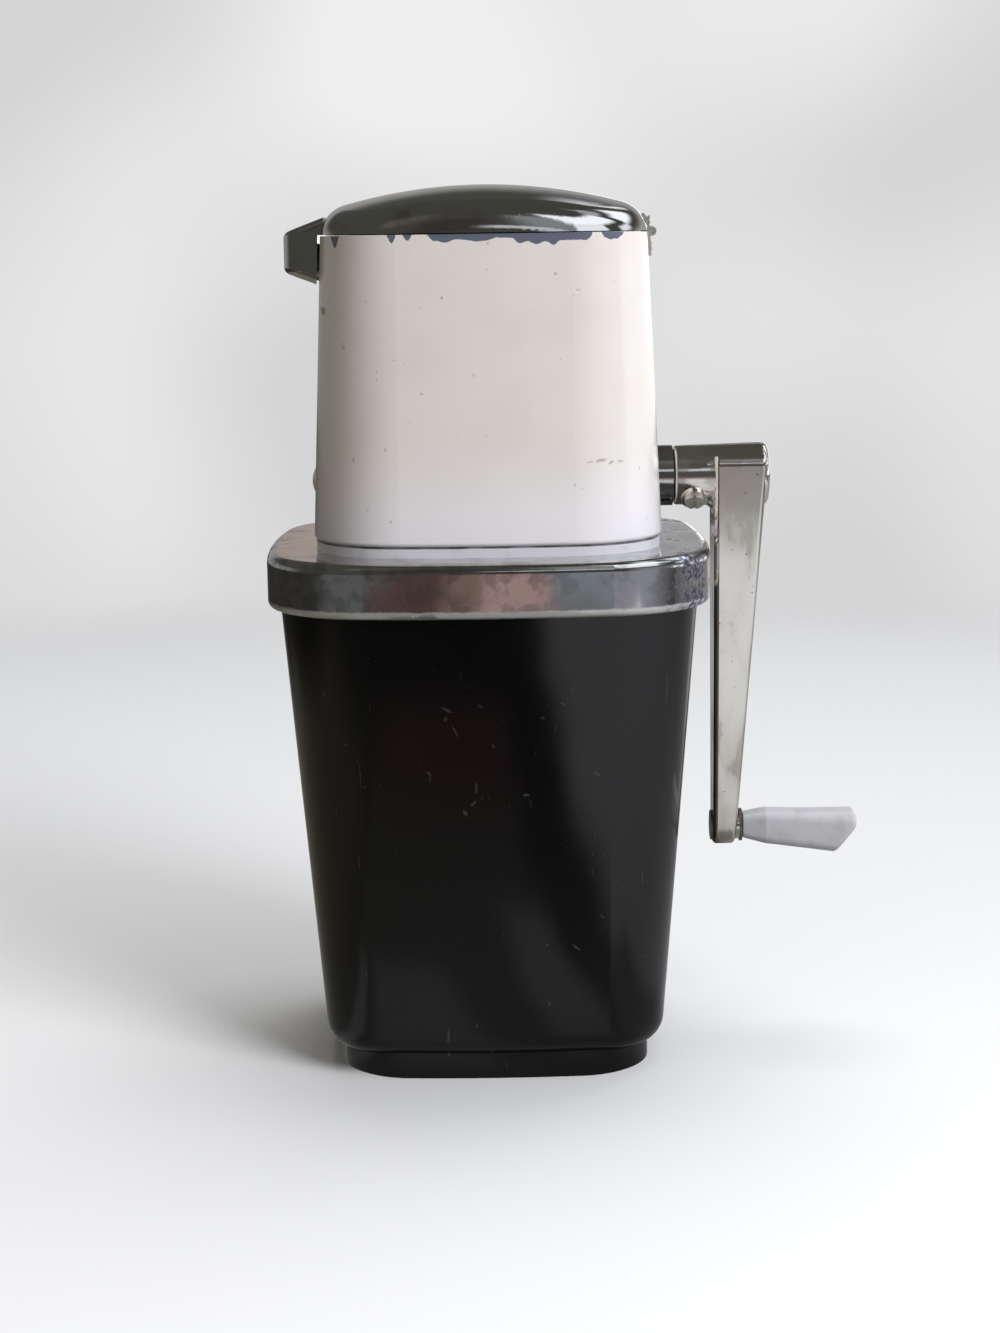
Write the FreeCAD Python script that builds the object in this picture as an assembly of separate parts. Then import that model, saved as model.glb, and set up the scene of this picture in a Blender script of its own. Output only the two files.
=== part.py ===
import FreeCAD, Part
import math
import os

from FreeCAD import Vector

# A hand-cranked ice crusher: a head of housing, hopper and rotor that stands on a cup.
# Millimetres. Origin: centre of the cup's foot, on the surface it stands on.
# +Z is up, -Y the front, +X the crank's side.

# ---- driving dimensions ----

# cup
cup_height = 140.0
cup_draft = 0.081            # half width gained for each millimetre of height
cup_wall = 2.2
cup_floor = 2.4
cup_bottom_round = 7.5
cup_rim_round = 0.8
foot_width = 85.0
foot_depth = 80.0
foot_corner = 20.0
foot_bow = 390.0
foot_height = 6.0
foot_wall = 2.4

# collar
collar_width = 120.0
collar_depth = 112.8
collar_corner = 30.0
collar_bow = 300.0
collar_height = 14.4
collar_wall = 1.6
collar_shoulder = 2.6
collar_lip = 2.0
cup_fit = 0.8                # between the cup's rim and the collar's inside
seat_gap = 0.4               # between the cup's rim and the collar's plate

# neck ring and housing
neck_height = 2.4
neck_inset = 0.6
neck_width = 3.4
seam_height = 0.4
seam_inset = 0.9
housing_width = 94.4
housing_depth = 88.8
housing_corner = 26.0
housing_bow = 270.0
housing_height = 79.6
housing_draft = 0.0447       # half width lost for each millimetre of height
housing_wall = 1.5
housing_hem = 1.1

# hopper and its chamber
chamber_side_gap = 4.0       # between the outer blades and the chamber's ends
rotor_gap = 2.0              # between the blades' tips and the combs' backs
chamber_corner = 4.0
chamber_bow = 4000.0
hopper_wall = 2.5
hopper_drop = 3.0            # from the housing's rim down to the hopper's rim
hopper_fit = 0.4
rim_band = 5.0
flange_thickness = 3.0
bearing_boss_radius = 9.0
throat_margin = 0.5

# rotor
shaft_rise = 13.7            # from the housing's lower edge up to the shaft
journal_radius = 4.0
running_fit = 0.06
slip_fit = 0.05
blade_count = 6
blade_thickness = 3.0
blade_pitch = 9.0
blade_hub_radius = 8.8
blade_tip_radius = 18.0
blade_points = 4
blade_rake = 0.10            # a point's tip, as a share of the turn between two points
blade_land = 0.10            # its flat end, as a share of that turn
blade_back = 0.55            # where its back is deepest, as a share of that turn
blade_back_radius = 12.9
blade_stagger = 15.0         # degrees from one blade to the next
spacer_radius = 7.4

# combs
comb_back = 4.0
comb_rise = 13.0
finger_gap = 0.8             # between a finger and the blades beside it
finger_root = 8.0            # half height where a finger leaves the comb's back
finger_tip = 3.2
fine_gap = 1.0               # between the fine fingers' tips and the spacers
coarse_gap = 5.1
comb_screw_fingers = 2       # its screws stand this many fingers from the middle
comb_screw_bite = 3.0

# bearings
bearing_radius = 6.0
bearing_flange_radius = 8.3
bearing_flange = 4.0
thrust_gap = 0.3
cap_radius = 4.4
cap_rise = 1.5
cap_stem_radius = 2.2

# lid
lid_height = 12.9
lid_overhang = 0.4
lid_gap = 0.3
lid_wall = 1.5
lid_crown_radius = 142.0
lid_edge_radius = 9.4

# thumb tab
tab_width = 32.0
tab_reach = 9.2              # out from the lid's side
tab_root = 1.7               # how far it runs into the lid's rounded side
tab_rise = 0.6               # its outer corner above the lid's rim
tab_face = 10.2
tab_slope = 0.37
tab_wall = 2.2
tab_corner = 5.0
tab_edge = 2.0
tab_gap = 0.7
tab_screw_edge = 8.0         # from the tab's ends to its screws
tab_screw_rise = 1.9
tab_screw_bite = 3.2

# hinge
hinge_out = 0.4              # from the lid's side out to the pin's axis
barrel_radius = 1.3
pin_radius = 0.6
barrel_gap = 0.3
leaf_width = 26.0
strap_width = 10.0
leaf_thickness = 0.8
leaf_drop = 5.0
leaf_rivet_edge = 4.4
strap_rise = 4.6
strap_rivet_edge = 2.5

# crank
crank_clearance = 1.7        # between the collar and the arm's inner face
crank_radius = 98.9
hub_inner_radius = 8.1
hub_outer_radius = 8.8
hub_inner_round = 0.9
hub_end_round = 2.0
arm_top_thickness = 14.2
arm_low_thickness = 6.6
arm_top_half = 8.9           # half its width, level with the shaft
arm_top_rise = 6.0           # from the shaft's axis up to the arm's blunt top
arm_top_round = 3.0
arm_low_radius = 5.3
arm_edge = 1.3
arm_root_round = 2.6
hub_reach = 0.9              # how far the hub's end stands past the arm's face
shaft_engagement = 21.0
set_boss_radius = 3.6
set_boss_rise = 0.8
set_turn = 45.0              # degrees from straight down towards the front

# knob
spindle_radius = 2.5
spindle_head = 0.5
spindle_head_radius = 4.2
spindle_end_radius = 3.2
spindle_end = 1.6
knob_length = 31.5           # along the spindle's axis
knob_overrun = 6.3           # how far its form runs on before the leaning end is cut
knob_bore_depth = 20.0
knob_neck_half = 3.5
knob_shoulder = 6.2          # from the neck's end to the shoulder
knob_shoulder_half = 4.8
knob_shoulder_drop = 0.3
knob_middle = 18.4           # from the neck's end to the section in its middle
knob_middle_half = 5.4
knob_middle_drop = 1.3
knob_end_half = 6.8
knob_end_drop = 2.6
knob_end_lean = 38.0         # degrees that the lower part of its end leans back
knob_nose_round = 4.0        # where the end's upright and leaning parts meet
knob_ridge = 0.5
knob_edge = 1.2
knob_corner_share = 0.55     # corner radius, as a share of a section's half width
knob_bow_ratio = 6.0         # its sides' bow, in half widths
knob_play = 0.3
washer_thickness = 0.7
washer_radius = 4.6
boss_rise = 1.0

# fasteners
screw_radius = 2.0
screw_head_radius = 3.6
screw_head = 1.8
screw_hole_fit = 0.2
screw_bite = 6.5
screw_post_radius = 4.0
screw_post_height = 9.0
screw_post_out = 5.0         # from the chamber's outer wall to the posts' centres
screw_post_in = 6.4          # from the chamber's end to the posts' centres
small_screw_radius = 1.0
small_head_radius = 1.8
small_head = 1.1
set_screw_radius = 1.6
set_screw_head_radius = 2.6
slot_width = 0.8
slot_depth = 0.7
rivet_radius = 0.8
rivet_head_radius = 1.4
rivet_head = 0.45

# ---- heights and places that follow ----

collar_underside = cup_height + seat_gap
collar_top = collar_underside + collar_wall
collar_bottom = collar_top - collar_height
neck_top = collar_top + neck_height
housing_bottom = neck_top + seam_height
housing_top = housing_bottom + housing_height
shaft_z = housing_bottom + shaft_rise
lid_bottom = housing_top + lid_gap
lid_crown = lid_bottom + lid_height
hopper_top = housing_top - hopper_drop
funnel_bottom = shaft_z + blade_tip_radius + rotor_gap
knob_z = shaft_z - crank_radius

shaft_side = 2 * journal_radius     # across the flats of its square part
rotor_half = (blade_count - 1) * blade_pitch / 2 + blade_thickness / 2
finger_thickness = blade_pitch - blade_thickness - 2 * finger_gap
chamber_half_x = rotor_half + chamber_side_gap + finger_thickness
comb_inner = blade_tip_radius + rotor_gap
chamber_half_y = comb_inner + comb_back
shaft_shoulder = chamber_half_x - thrust_gap
screw_place_x = chamber_half_x - screw_post_in
screw_place_y = chamber_half_y + hopper_wall + screw_post_out

arm_inner = collar_width / 2 + crank_clearance
arm_outer_top = arm_inner + arm_top_thickness
arm_outer_low = arm_inner + arm_low_thickness
arm_slope = (arm_outer_top - arm_outer_low) / crank_radius
washer_start = arm_outer_low + boss_rise
knob_start = washer_start + washer_thickness + knob_play
knob_bore_end = knob_start + knob_bore_depth

X, Y, Z = Vector(1, 0, 0), Vector(0, 1, 0), Vector(0, 0, 1)
far = 400.0                  # beyond every piece
overcut = 1.0                # how far a cut runs past the face that it opens
near = 0.001                 # for telling edges apart by their place


# ---- shapes that several pieces share ----

class Plan:
    """A level outline about the Z axis: four bowed sides joined by tangent corner arcs."""

    def __init__(self, half_x, half_y, corner, bow):
        self.half_x = half_x
        self.half_y = half_y
        self.corner = corner
        self.bow = bow

    def inset(self, distance):
        half_x, half_y = self.half_x - distance, self.half_y - distance
        return Plan(half_x, half_y, self.corner - distance, self.bow - distance)

    def wire(self, z):
        """Eight arcs, each through the middle of a side or a corner, from one worked-out quarter."""
        side = Vector(self.half_x - self.bow, 0, 0)
        front = Vector(0, self.half_y - self.bow, 0)
        half_gap = (side - front).Length / 2
        outwards = Vector(-front.y, -side.x, 0).normalize()
        reach = math.sqrt((self.bow - self.corner) ** 2 - half_gap ** 2)
        centre = (side + front) / 2 + outwards * reach
        from_side = (centre - side).normalize()
        from_front = (centre - front).normalize()
        corner_middle = centre + (from_side + from_front).normalize() * self.corner
        corner = [side + from_side * self.bow, corner_middle, front + from_front * self.bow]
        next_corner = [Vector(-point.x, point.y, 0) for point in reversed(corner)]
        ring = [Vector(self.half_x, 0, 0)] + corner + [Vector(0, self.half_y, 0)] + next_corner
        ring += [point * -1 for point in ring]
        ring = [point + Z * z for point in ring]
        middles = range(0, len(ring), 2)
        return Part.Wire([Part.Arc(ring[i - 1], ring[i], ring[i + 1]).toShape() for i in middles])

    def prism(self, low, high):
        return Part.Face(self.wire(low)).extrude(Z * (high - low))


class Taper:
    """A wall that loses draft of its half width for each millimetre above its base."""

    def __init__(self, plan, base, draft):
        self.plan = plan
        self.base = base
        self.draft = draft

    def at(self, z):
        return self.plan.inset(self.draft * (z - self.base))

    def solid(self, low, high, inset=0.0):
        wires = [self.at(z).inset(inset).wire(z) for z in (low, high)]
        return Part.makeLoft(wires, True, True)


def rod(radius, start, end):
    axis = end - start
    return Part.makeCylinder(radius, axis.Length, start, axis)


def cone(start_radius, end_radius, start, end):
    axis = end - start
    return Part.makeCone(start_radius, end_radius, axis.Length, start, axis)


def block(low, high):
    size = high - low
    return Part.makeBox(size.x, size.y, size.z, low)


def level_edges(shape, z):
    return [edge for edge in shape.Edges
            if abs(edge.BoundBox.ZMin - z) < near and abs(edge.BoundBox.ZMax - z) < near]


def edges_off(shape, axis):
    """The edges that run any other way than straight along an axis."""
    others = Vector(1, 1, 1) - axis

    def spread(edge):
        box = edge.BoundBox
        return Vector(box.XLength, box.YLength, box.ZLength).dot(others)

    return [edge for edge in shape.Edges if spread(edge) > near]


def top_face(shape):
    return max(shape.Faces, key=lambda face: face.CenterOfMass.z)


def crowned(plan, low, crown, crown_radius, edge_radius):
    """A prism of the plan under a spherical crown, its upper edge rounded, cut off at low."""
    tall = plan.prism(low - edge_radius, crown + edge_radius)
    ball_centre = Z * (crown - crown_radius)
    ball = Part.makeSphere(crown_radius, ball_centre, Y)
    ball.rotate(ball_centre, Y, 180)
    capped = tall.common(ball)
    rounded = capped.makeFillet(edge_radius, top_face(capped).Edges)
    return rounded.cut(block(Vector(-far, -far, low - far), Vector(far, far, low)))


def screw(tip, head_seat, radius, head_radius, head):
    """A slotted pan-head screw along X, Y or Z, from its tip to the seat under its head."""
    outwards = (head_seat - tip).normalize()
    head_top = head_seat + outwards * head
    body = rod(radius, tip, head_seat).fuse(rod(head_radius, head_seat, head_top))
    across = Vector(outwards.z, outwards.x, outwards.y)
    along = outwards.cross(across)
    slot_start = head_top - along * head_radius - outwards * slot_depth
    slot_end = slot_start + along * (2 * head_radius)
    side = across * (slot_width / 2)
    slot = Part.makePolygon([slot_start - side, slot_start + side, slot_end + side, slot_end - side,
                             slot_start - side])
    return body.cut(Part.Face(slot).extrude(outwards * (slot_depth + overcut)))


def rivet(tip, head_seat):
    """A rivet whose head is a low dome."""
    outwards = (head_seat - tip).normalize()
    ball_radius = (rivet_head_radius ** 2 + rivet_head ** 2) / (2 * rivet_head)
    ball = Part.makeSphere(ball_radius, head_seat + outwards * (rivet_head - ball_radius))
    dome = ball.common(rod(rivet_head_radius, head_seat, head_seat + outwards * rivet_head))
    return rod(rivet_radius, tip, head_seat).fuse(dome)


def evenly(count, pitch):
    """Places along a line, centred on zero."""
    return [(i - (count - 1) / 2) * pitch for i in range(count)]


# ---- the outlines that pieces share ----

collar_plan = Plan(collar_width / 2, collar_depth / 2, collar_corner, collar_bow)
cup_rim_plan = collar_plan.inset(collar_wall + cup_fit)
cup_walls = Taper(cup_rim_plan, cup_height, -cup_draft)
foot_plan = Plan(foot_width / 2, foot_depth / 2, foot_corner, foot_bow)
housing_plan = Plan(housing_width / 2, housing_depth / 2, housing_corner, housing_bow)
housing_walls = Taper(housing_plan, housing_bottom, housing_draft)
neck_plan = housing_plan.inset(neck_inset)
chamber_plan = Plan(chamber_half_x, chamber_half_y, chamber_corner, chamber_bow)
lid_plan = housing_walls.at(housing_top).inset(-lid_overhang)

hinge_x = lid_plan.half_x + hinge_out
hinge_z = housing_top + lid_gap / 2
bearing_seat = housing_walls.at(shaft_z).half_x
bearing_inner = chamber_half_x + slip_fit
left_bearing_end = -(bearing_seat - housing_wall - hopper_fit)
hub_inner = bearing_seat + bearing_flange + thrust_gap
hub_end = arm_outer_top + hub_reach
set_screw_x = (hub_inner + arm_inner) / 2
set_screw_seat = shaft_z - hub_inner_radius - set_boss_rise
blade_places = evenly(blade_count, blade_pitch)
finger_places = evenly(blade_count + 1, blade_pitch)


def on_shaft(x):
    return Vector(x, 0, shaft_z)


def on_knob_axis(x):
    return Vector(x, 0, knob_z)


def collar_screw_places():
    return [Vector(x * screw_place_x, y * screw_place_y, 0) for x in (-1, 1) for y in (-1, 1)]


def hinge_notch():
    """Room for the hinge's barrel in the rims of the lid and the housing."""
    half = leaf_width / 2 + barrel_gap
    return rod(barrel_radius + barrel_gap, Vector(hinge_x, -half, hinge_z), Vector(hinge_x, half, hinge_z))


# ---- cup ----

def make_cup():
    outside = cup_walls.solid(foot_height, cup_height)
    outside = outside.makeFillet(cup_bottom_round, level_edges(outside, foot_height))
    foot = foot_plan.prism(0, foot_height + cup_bottom_round / 2)
    inside_low = foot_height + cup_floor
    inside = cup_walls.solid(inside_low, cup_height + overcut, cup_wall)
    inside = inside.makeFillet(cup_bottom_round - cup_wall, level_edges(inside, inside_low))
    recess = foot_plan.inset(foot_wall).prism(-far, foot_height)
    cup = outside.fuse(foot).cut(inside).cut(recess).removeSplitter()
    return cup.makeFillet(cup_rim_round, level_edges(cup, cup_height))


# ---- collar, neck ring and housing ----

def make_collar():
    outside = collar_plan.prism(collar_bottom, collar_top)
    outside = outside.makeFillet(collar_shoulder, level_edges(outside, collar_top))
    outside = outside.makeFillet(collar_lip, level_edges(outside, collar_bottom))
    inside = collar_plan.inset(collar_wall).prism(collar_bottom - overcut, collar_underside)
    inside = inside.makeFillet(collar_shoulder - collar_wall / 2, level_edges(inside, collar_underside))
    collar = outside.cut(inside)
    below, above = collar_underside - overcut, collar_top + overcut
    collar = collar.cut(chamber_plan.inset(-throat_margin).prism(below, above))
    for place in collar_screw_places():
        collar = collar.cut(rod(screw_radius + screw_hole_fit, place + Z * below, place + Z * above))
    return collar


def make_neck_ring():
    band = neck_plan.prism(collar_top, neck_top)
    ledge = neck_plan.inset(seam_inset).prism(neck_top, housing_bottom)
    low, high = collar_top - overcut, housing_bottom + overcut
    core = neck_plan.inset(neck_width).prism(low, high)
    return band.fuse(ledge).cut(core.fuse(hopper_room(low, high))).removeSplitter()


def make_housing():
    outside = housing_walls.solid(housing_bottom, housing_top)
    outside = outside.makeFillet(housing_hem, level_edges(outside, housing_bottom))
    inside = housing_walls.solid(housing_bottom - overcut, housing_top + overcut, housing_wall)
    shell = outside.cut(inside)
    bearing_hole = rod(bearing_radius + slip_fit, on_shaft(0), on_shaft(far))
    cap_hole = rod(cap_stem_radius + slip_fit, on_shaft(0), on_shaft(-far))
    shell = shell.cut(bearing_hole).cut(cap_hole).cut(hinge_notch())
    for tip, seat in hinge_rivet_places():
        shell = shell.cut(rod(rivet_radius + slip_fit, tip, seat))
    return shell


# ---- hopper and combs ----

def hopper_room(low, high):
    """What the hopper's chamber and screw posts need of a piece around them."""
    room = chamber_plan.inset(-hopper_wall - hopper_fit).prism(low, high)
    for place in collar_screw_places():
        room = room.fuse(rod(screw_post_radius + hopper_fit, place + Z * low, place + Z * high))
    return room


def make_hopper():
    rim_low = hopper_top - rim_band
    fit = housing_wall + hopper_fit

    def form(inset, low, high):
        chamber = chamber_plan.inset(inset - hopper_wall).prism(low, funnel_bottom)
        rim_plan = housing_walls.at(rim_low).inset(fit + inset)
        funnel = Part.makeLoft([chamber_plan.inset(inset - hopper_wall).wire(funnel_bottom),
                                rim_plan.wire(rim_low)], True, True)
        band = housing_walls.solid(rim_low, high, fit + inset)
        return chamber.fuse(funnel).fuse(band)

    flange = neck_plan.inset(neck_width + hopper_fit).prism(collar_top, collar_top + flange_thickness)
    outside = form(0, collar_top, hopper_top).fuse(flange)
    bosses = rod(bearing_boss_radius, on_shaft(-far), on_shaft(far))
    outside = outside.fuse(bosses.common(housing_walls.solid(housing_bottom, housing_top, fit)))
    for place in collar_screw_places():
        post_top = place + Z * (collar_top + screw_post_height)
        outside = outside.fuse(rod(screw_post_radius, place + Z * collar_top, post_top))
    hopper = outside.cut(form(hopper_wall, collar_top - overcut, hopper_top + overcut))
    hopper = hopper.cut(rod(bearing_radius + slip_fit, on_shaft(-far), on_shaft(far)))
    for place in collar_screw_places():
        hole_end = place + Z * (collar_top + screw_bite + slip_fit)
        hopper = hopper.cut(rod(screw_radius + slip_fit, place, hole_end))
    for tip, seat in comb_screw_places():
        hopper = hopper.cut(rod(small_screw_radius + slip_fit, tip, seat + (seat - tip)))
    return hopper.removeSplitter()


def comb_screw_places():
    """Tips in the combs' backs and seats on the outside of the chamber, front and rear."""
    seat_y = chamber_half_y + hopper_wall
    tip_y = chamber_half_y - comb_screw_bite
    height = shaft_z + comb_rise - small_head_radius
    out = comb_screw_fingers * blade_pitch
    return [(Vector(x, side * tip_y, height), Vector(x, side * seat_y, height))
            for side in (-1, 1) for x in (-out, out)]


def make_comb(reach, side):
    """A back plate with a finger in each space between the blades.

    The fingers' tips end at reach from the shaft's axis; side is -1 in front and 1 behind."""
    filling = chamber_plan.inset(slip_fit).prism(shaft_z - comb_rise, shaft_z + comb_rise)
    comb = filling.cut(block(Vector(-far, -far, 0), Vector(far, comb_inner, far)))
    for x in finger_places:
        start = x - finger_thickness / 2
        outline = Part.makePolygon([Vector(start, comb_inner, shaft_z - finger_root),
                                    Vector(start, comb_inner, shaft_z + finger_root),
                                    Vector(start, 0, shaft_z + finger_tip),
                                    Vector(start, 0, shaft_z - finger_tip),
                                    Vector(start, comb_inner, shaft_z - finger_root)])
        comb = comb.fuse(Part.Face(outline).extrude(X * finger_thickness))
    comb = comb.cut(rod(reach, on_shaft(-far), on_shaft(far)))
    if side < 0:
        comb = comb.mirror(Vector(), Y)
    for tip, seat in comb_screw_places():
        comb = comb.cut(rod(small_screw_radius + slip_fit, tip, seat))
    return comb.removeSplitter()


def make_comb_screws():
    screws = [screw(tip, seat, small_screw_radius, small_head_radius, small_head)
              for tip, seat in comb_screw_places()]
    return Part.makeCompound(screws)


def make_collar_screws():
    screws = [screw(place + Z * (collar_top + screw_bite), place + Z * collar_underside,
                    screw_radius, screw_head_radius, screw_head) for place in collar_screw_places()]
    return Part.makeCompound(screws)


# ---- bearings ----

def make_right_bearing():
    flange = rod(bearing_flange_radius, on_shaft(0), on_shaft(bearing_seat + bearing_flange))
    flange = flange.cut(housing_walls.solid(housing_bottom, housing_top))
    sleeve = rod(bearing_radius, on_shaft(bearing_inner), on_shaft(bearing_seat + bearing_flange / 2))
    bore = rod(journal_radius + running_fit, on_shaft(0), on_shaft(far))
    return flange.fuse(sleeve).cut(bore).removeSplitter()


def make_left_bearing():
    sleeve = rod(bearing_radius, on_shaft(left_bearing_end), on_shaft(-bearing_inner))
    bore = rod(journal_radius + running_fit, on_shaft(left_bearing_end + housing_wall), on_shaft(0))
    stem_hole = rod(cap_stem_radius + slip_fit, on_shaft(-far), on_shaft(0))
    return sleeve.cut(bore).cut(stem_hole)


def make_left_cap():
    """A domed button whose stem is pressed through the housing into the left bearing."""
    seat = -bearing_seat
    ball_radius = (cap_radius ** 2 + cap_rise ** 2) / (2 * cap_rise)
    ball = Part.makeSphere(ball_radius, on_shaft(seat - cap_rise + ball_radius))
    dome = ball.common(rod(cap_radius, on_shaft(seat - cap_rise), on_shaft(seat + cap_rise)))
    dome = dome.cut(housing_walls.solid(housing_bottom, housing_top))
    stem_end = left_bearing_end + housing_wall / 2
    stem = rod(cap_stem_radius, on_shaft(seat - cap_rise / 2), on_shaft(stem_end))
    return dome.fuse(stem).removeSplitter()


# ---- rotor ----

def square_bar(side, start, end):
    return block(Vector(start, -side / 2, shaft_z - side / 2), Vector(end, side / 2, shaft_z + side / 2))


def make_drive_shaft():
    square = square_bar(shaft_side, -shaft_shoulder, shaft_shoulder)
    left_end = left_bearing_end + housing_wall + thrust_gap
    journals = rod(journal_radius, on_shaft(left_end), on_shaft(hub_inner + shaft_engagement))
    return square.fuse(journals).removeSplitter()


def make_blade(index):
    """A star of hooked points: each has a straight leading edge and a curved back."""
    step = 360.0 / blade_points
    start = blade_places[index] - blade_thickness / 2

    def at(radius, degrees):
        angle = math.radians(degrees)
        return Vector(start, radius * math.cos(angle), shaft_z + radius * math.sin(angle))

    edges = []
    for point in range(blade_points):
        turn = point * step + index * blade_stagger
        tip_turn = turn + step * blade_rake
        land_turn = tip_turn + step * blade_land
        root = at(blade_hub_radius, turn)
        tip = at(blade_tip_radius, tip_turn)
        land_middle = at(blade_tip_radius, (tip_turn + land_turn) / 2)
        land = at(blade_tip_radius, land_turn)
        back = at(blade_back_radius, turn + step * blade_back)
        next_root = at(blade_hub_radius, turn + step)
        edges.append(Part.makeLine(root, tip))
        edges.append(Part.Arc(tip, land_middle, land).toShape())
        edges.append(Part.Arc(land, back, next_root).toShape())
    star = Part.Face(Part.Wire(edges)).extrude(X * blade_thickness)
    return star.cut(square_bar(shaft_side + 2 * slip_fit, -far, far))


def make_spacer(index):
    """A tube on the shaft between two blades, or between an end blade and the shaft's shoulder."""
    low = blade_places[index - 1] + blade_thickness / 2 if index > 0 else -shaft_shoulder
    high = blade_places[index] - blade_thickness / 2 if index < blade_count else shaft_shoulder
    tube = rod(spacer_radius, on_shaft(low), on_shaft(high))
    return tube.cut(square_bar(shaft_side + 2 * slip_fit, -far, far))


# ---- crank and knob ----

def arm_outline():
    """The arm from the side, at its inner face: straight edges up from a round end to a blunt top."""
    lean = (arm_top_half - arm_low_radius) / crank_radius
    upright = math.sqrt(1 - lean ** 2)
    low = on_knob_axis(arm_inner)
    low_rear = low + Vector(0, upright, -lean) * arm_low_radius
    rise = shaft_z + arm_top_rise - low_rear.z
    top_rear = low_rear + Vector(0, lean / upright, 1) * rise
    low_front = Vector(arm_inner, -low_rear.y, low_rear.z)
    top_front = Vector(arm_inner, -top_rear.y, top_rear.z)
    return Part.Wire([Part.makeLine(top_front, top_rear), Part.makeLine(top_rear, low_rear),
                      Part.Arc(low_rear, low - Z * arm_low_radius, low_front).toShape(),
                      Part.makeLine(low_front, top_front)])


def arm_wedge():
    """The arm from the front, wider than it: the outer face leans out towards the hub."""
    above = shaft_z + arm_top_rise + overcut
    below = knob_z - arm_low_radius - overcut
    outer_above = arm_outer_low + arm_slope * (above - knob_z)
    outer_below = arm_outer_low + arm_slope * (below - knob_z)
    outline = Part.makePolygon([Vector(0, -far, below), Vector(outer_below, -far, below),
                                Vector(outer_above, -far, above), Vector(0, -far, above),
                                Vector(0, -far, below)])
    return Part.Face(outline).extrude(Y * (2 * far))


def make_arm():
    arm = Part.Face(arm_outline()).extrude(X * far).common(arm_wedge())
    top_corners = [edge for edge in arm.Edges
                   if edge.BoundBox.ZMin > shaft_z and edge.BoundBox.YLength < near]
    arm = arm.makeFillet(arm_top_round, top_corners)
    return arm.makeFillet(arm_edge, edges_off(arm, X))


def hub_radius(x):
    share = (x - hub_inner) / (hub_end - hub_inner)
    return hub_inner_radius + share * (hub_outer_radius - hub_inner_radius)


def make_hub():
    hub = cone(hub_inner_radius, hub_outer_radius, on_shaft(hub_inner), on_shaft(hub_end))
    inner_rim = [edge for edge in hub.Edges if edge.BoundBox.XMax < hub_inner + near]
    hub = hub.makeFillet(hub_inner_round, inner_rim)
    outer_rim = [edge for edge in hub.Edges if edge.BoundBox.XMin > hub_end - near]
    return hub.makeFillet(hub_end_round, outer_rim)


def hub_root(arm):
    """The hollow round by which the hub runs out into the arm's inner face."""
    start = arm_inner - arm_root_round
    hollow_centre = on_shaft(start) + Z * (hub_radius(start) + arm_root_round)
    low = hollow_centre - Z * arm_root_round
    middle = hollow_centre + (X - Z).normalize() * arm_root_round
    high = hollow_centre + X * arm_root_round
    base_high, base_low = high + X * arm_edge, on_shaft(arm_inner + arm_edge)
    flare = Part.Wire([Part.Arc(low, middle, high).toShape(),
                       Part.makePolygon([high, base_high, base_low, on_shaft(start), low])])
    flare = Part.Face(flare).revolve(on_shaft(0), X, 360)
    inner_face = min(arm.Faces, key=lambda face: face.CenterOfMass.x)
    return flare.common(inner_face.extrude(X * -arm_root_round))


def to_set_screw(shape):
    """Turns a shape made straight below the shaft to the set screw's place."""
    shape.rotate(on_shaft(0), X, -set_turn)
    return shape


def make_crank_arm():
    """A cast arm and its hub, bored for the shaft, the set screw and the spindle."""
    arm = make_arm()
    crank = arm.fuse(make_hub()).fuse(hub_root(arm))
    set_seat = Vector(set_screw_x, 0, set_screw_seat)
    set_boss = to_set_screw(rod(set_boss_radius, on_shaft(set_screw_x), set_seat))
    spindle_boss = rod(arm_low_radius - arm_edge, on_knob_axis(arm_inner + arm_edge),
                       on_knob_axis(washer_start))
    crank = crank.fuse(set_boss).fuse(spindle_boss).removeSplitter()
    bore_end = hub_inner + shaft_engagement + slip_fit
    set_hole = rod(set_screw_radius + slip_fit, on_shaft(set_screw_x), set_seat - Z * overcut)
    crank = crank.cut(rod(journal_radius + slip_fit, on_shaft(0), on_shaft(bore_end)))
    crank = crank.cut(to_set_screw(set_hole))
    return crank.cut(rod(spindle_radius + slip_fit, on_knob_axis(0), on_knob_axis(far)))


def make_set_screw():
    tip = Vector(set_screw_x, 0, shaft_z - journal_radius - slip_fit)
    seat = Vector(set_screw_x, 0, set_screw_seat)
    return to_set_screw(screw(tip, seat, set_screw_radius, set_screw_head_radius, small_head))


def make_knob_washer():
    washer_end = washer_start + washer_thickness
    disc = rod(washer_radius, on_knob_axis(washer_start), on_knob_axis(washer_end))
    return disc.cut(rod(spindle_radius + slip_fit, on_knob_axis(0), on_knob_axis(far)))


def make_knob_spindle():
    """A rivet through the arm, with a wider end that holds the knob."""
    end = knob_bore_end - knob_play
    head = rod(spindle_head_radius, on_knob_axis(arm_inner - spindle_head), on_knob_axis(arm_inner))
    pin = rod(spindle_radius, on_knob_axis(arm_inner - spindle_head / 2), on_knob_axis(end))
    catch = rod(spindle_end_radius, on_knob_axis(end - spindle_end), on_knob_axis(end))
    return head.fuse(pin).fuse(catch).removeSplitter()


def knob_section(along, half, drop):
    """One section of the knob: a rounded square, its centre drop below the spindle."""
    wire = Plan(half, half, half * knob_corner_share, half * knob_bow_ratio).wire(0)
    wire.rotate(Vector(), Y, 90)
    wire.translate(Vector(knob_start + along, 0, knob_z - drop))
    return wire


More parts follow.
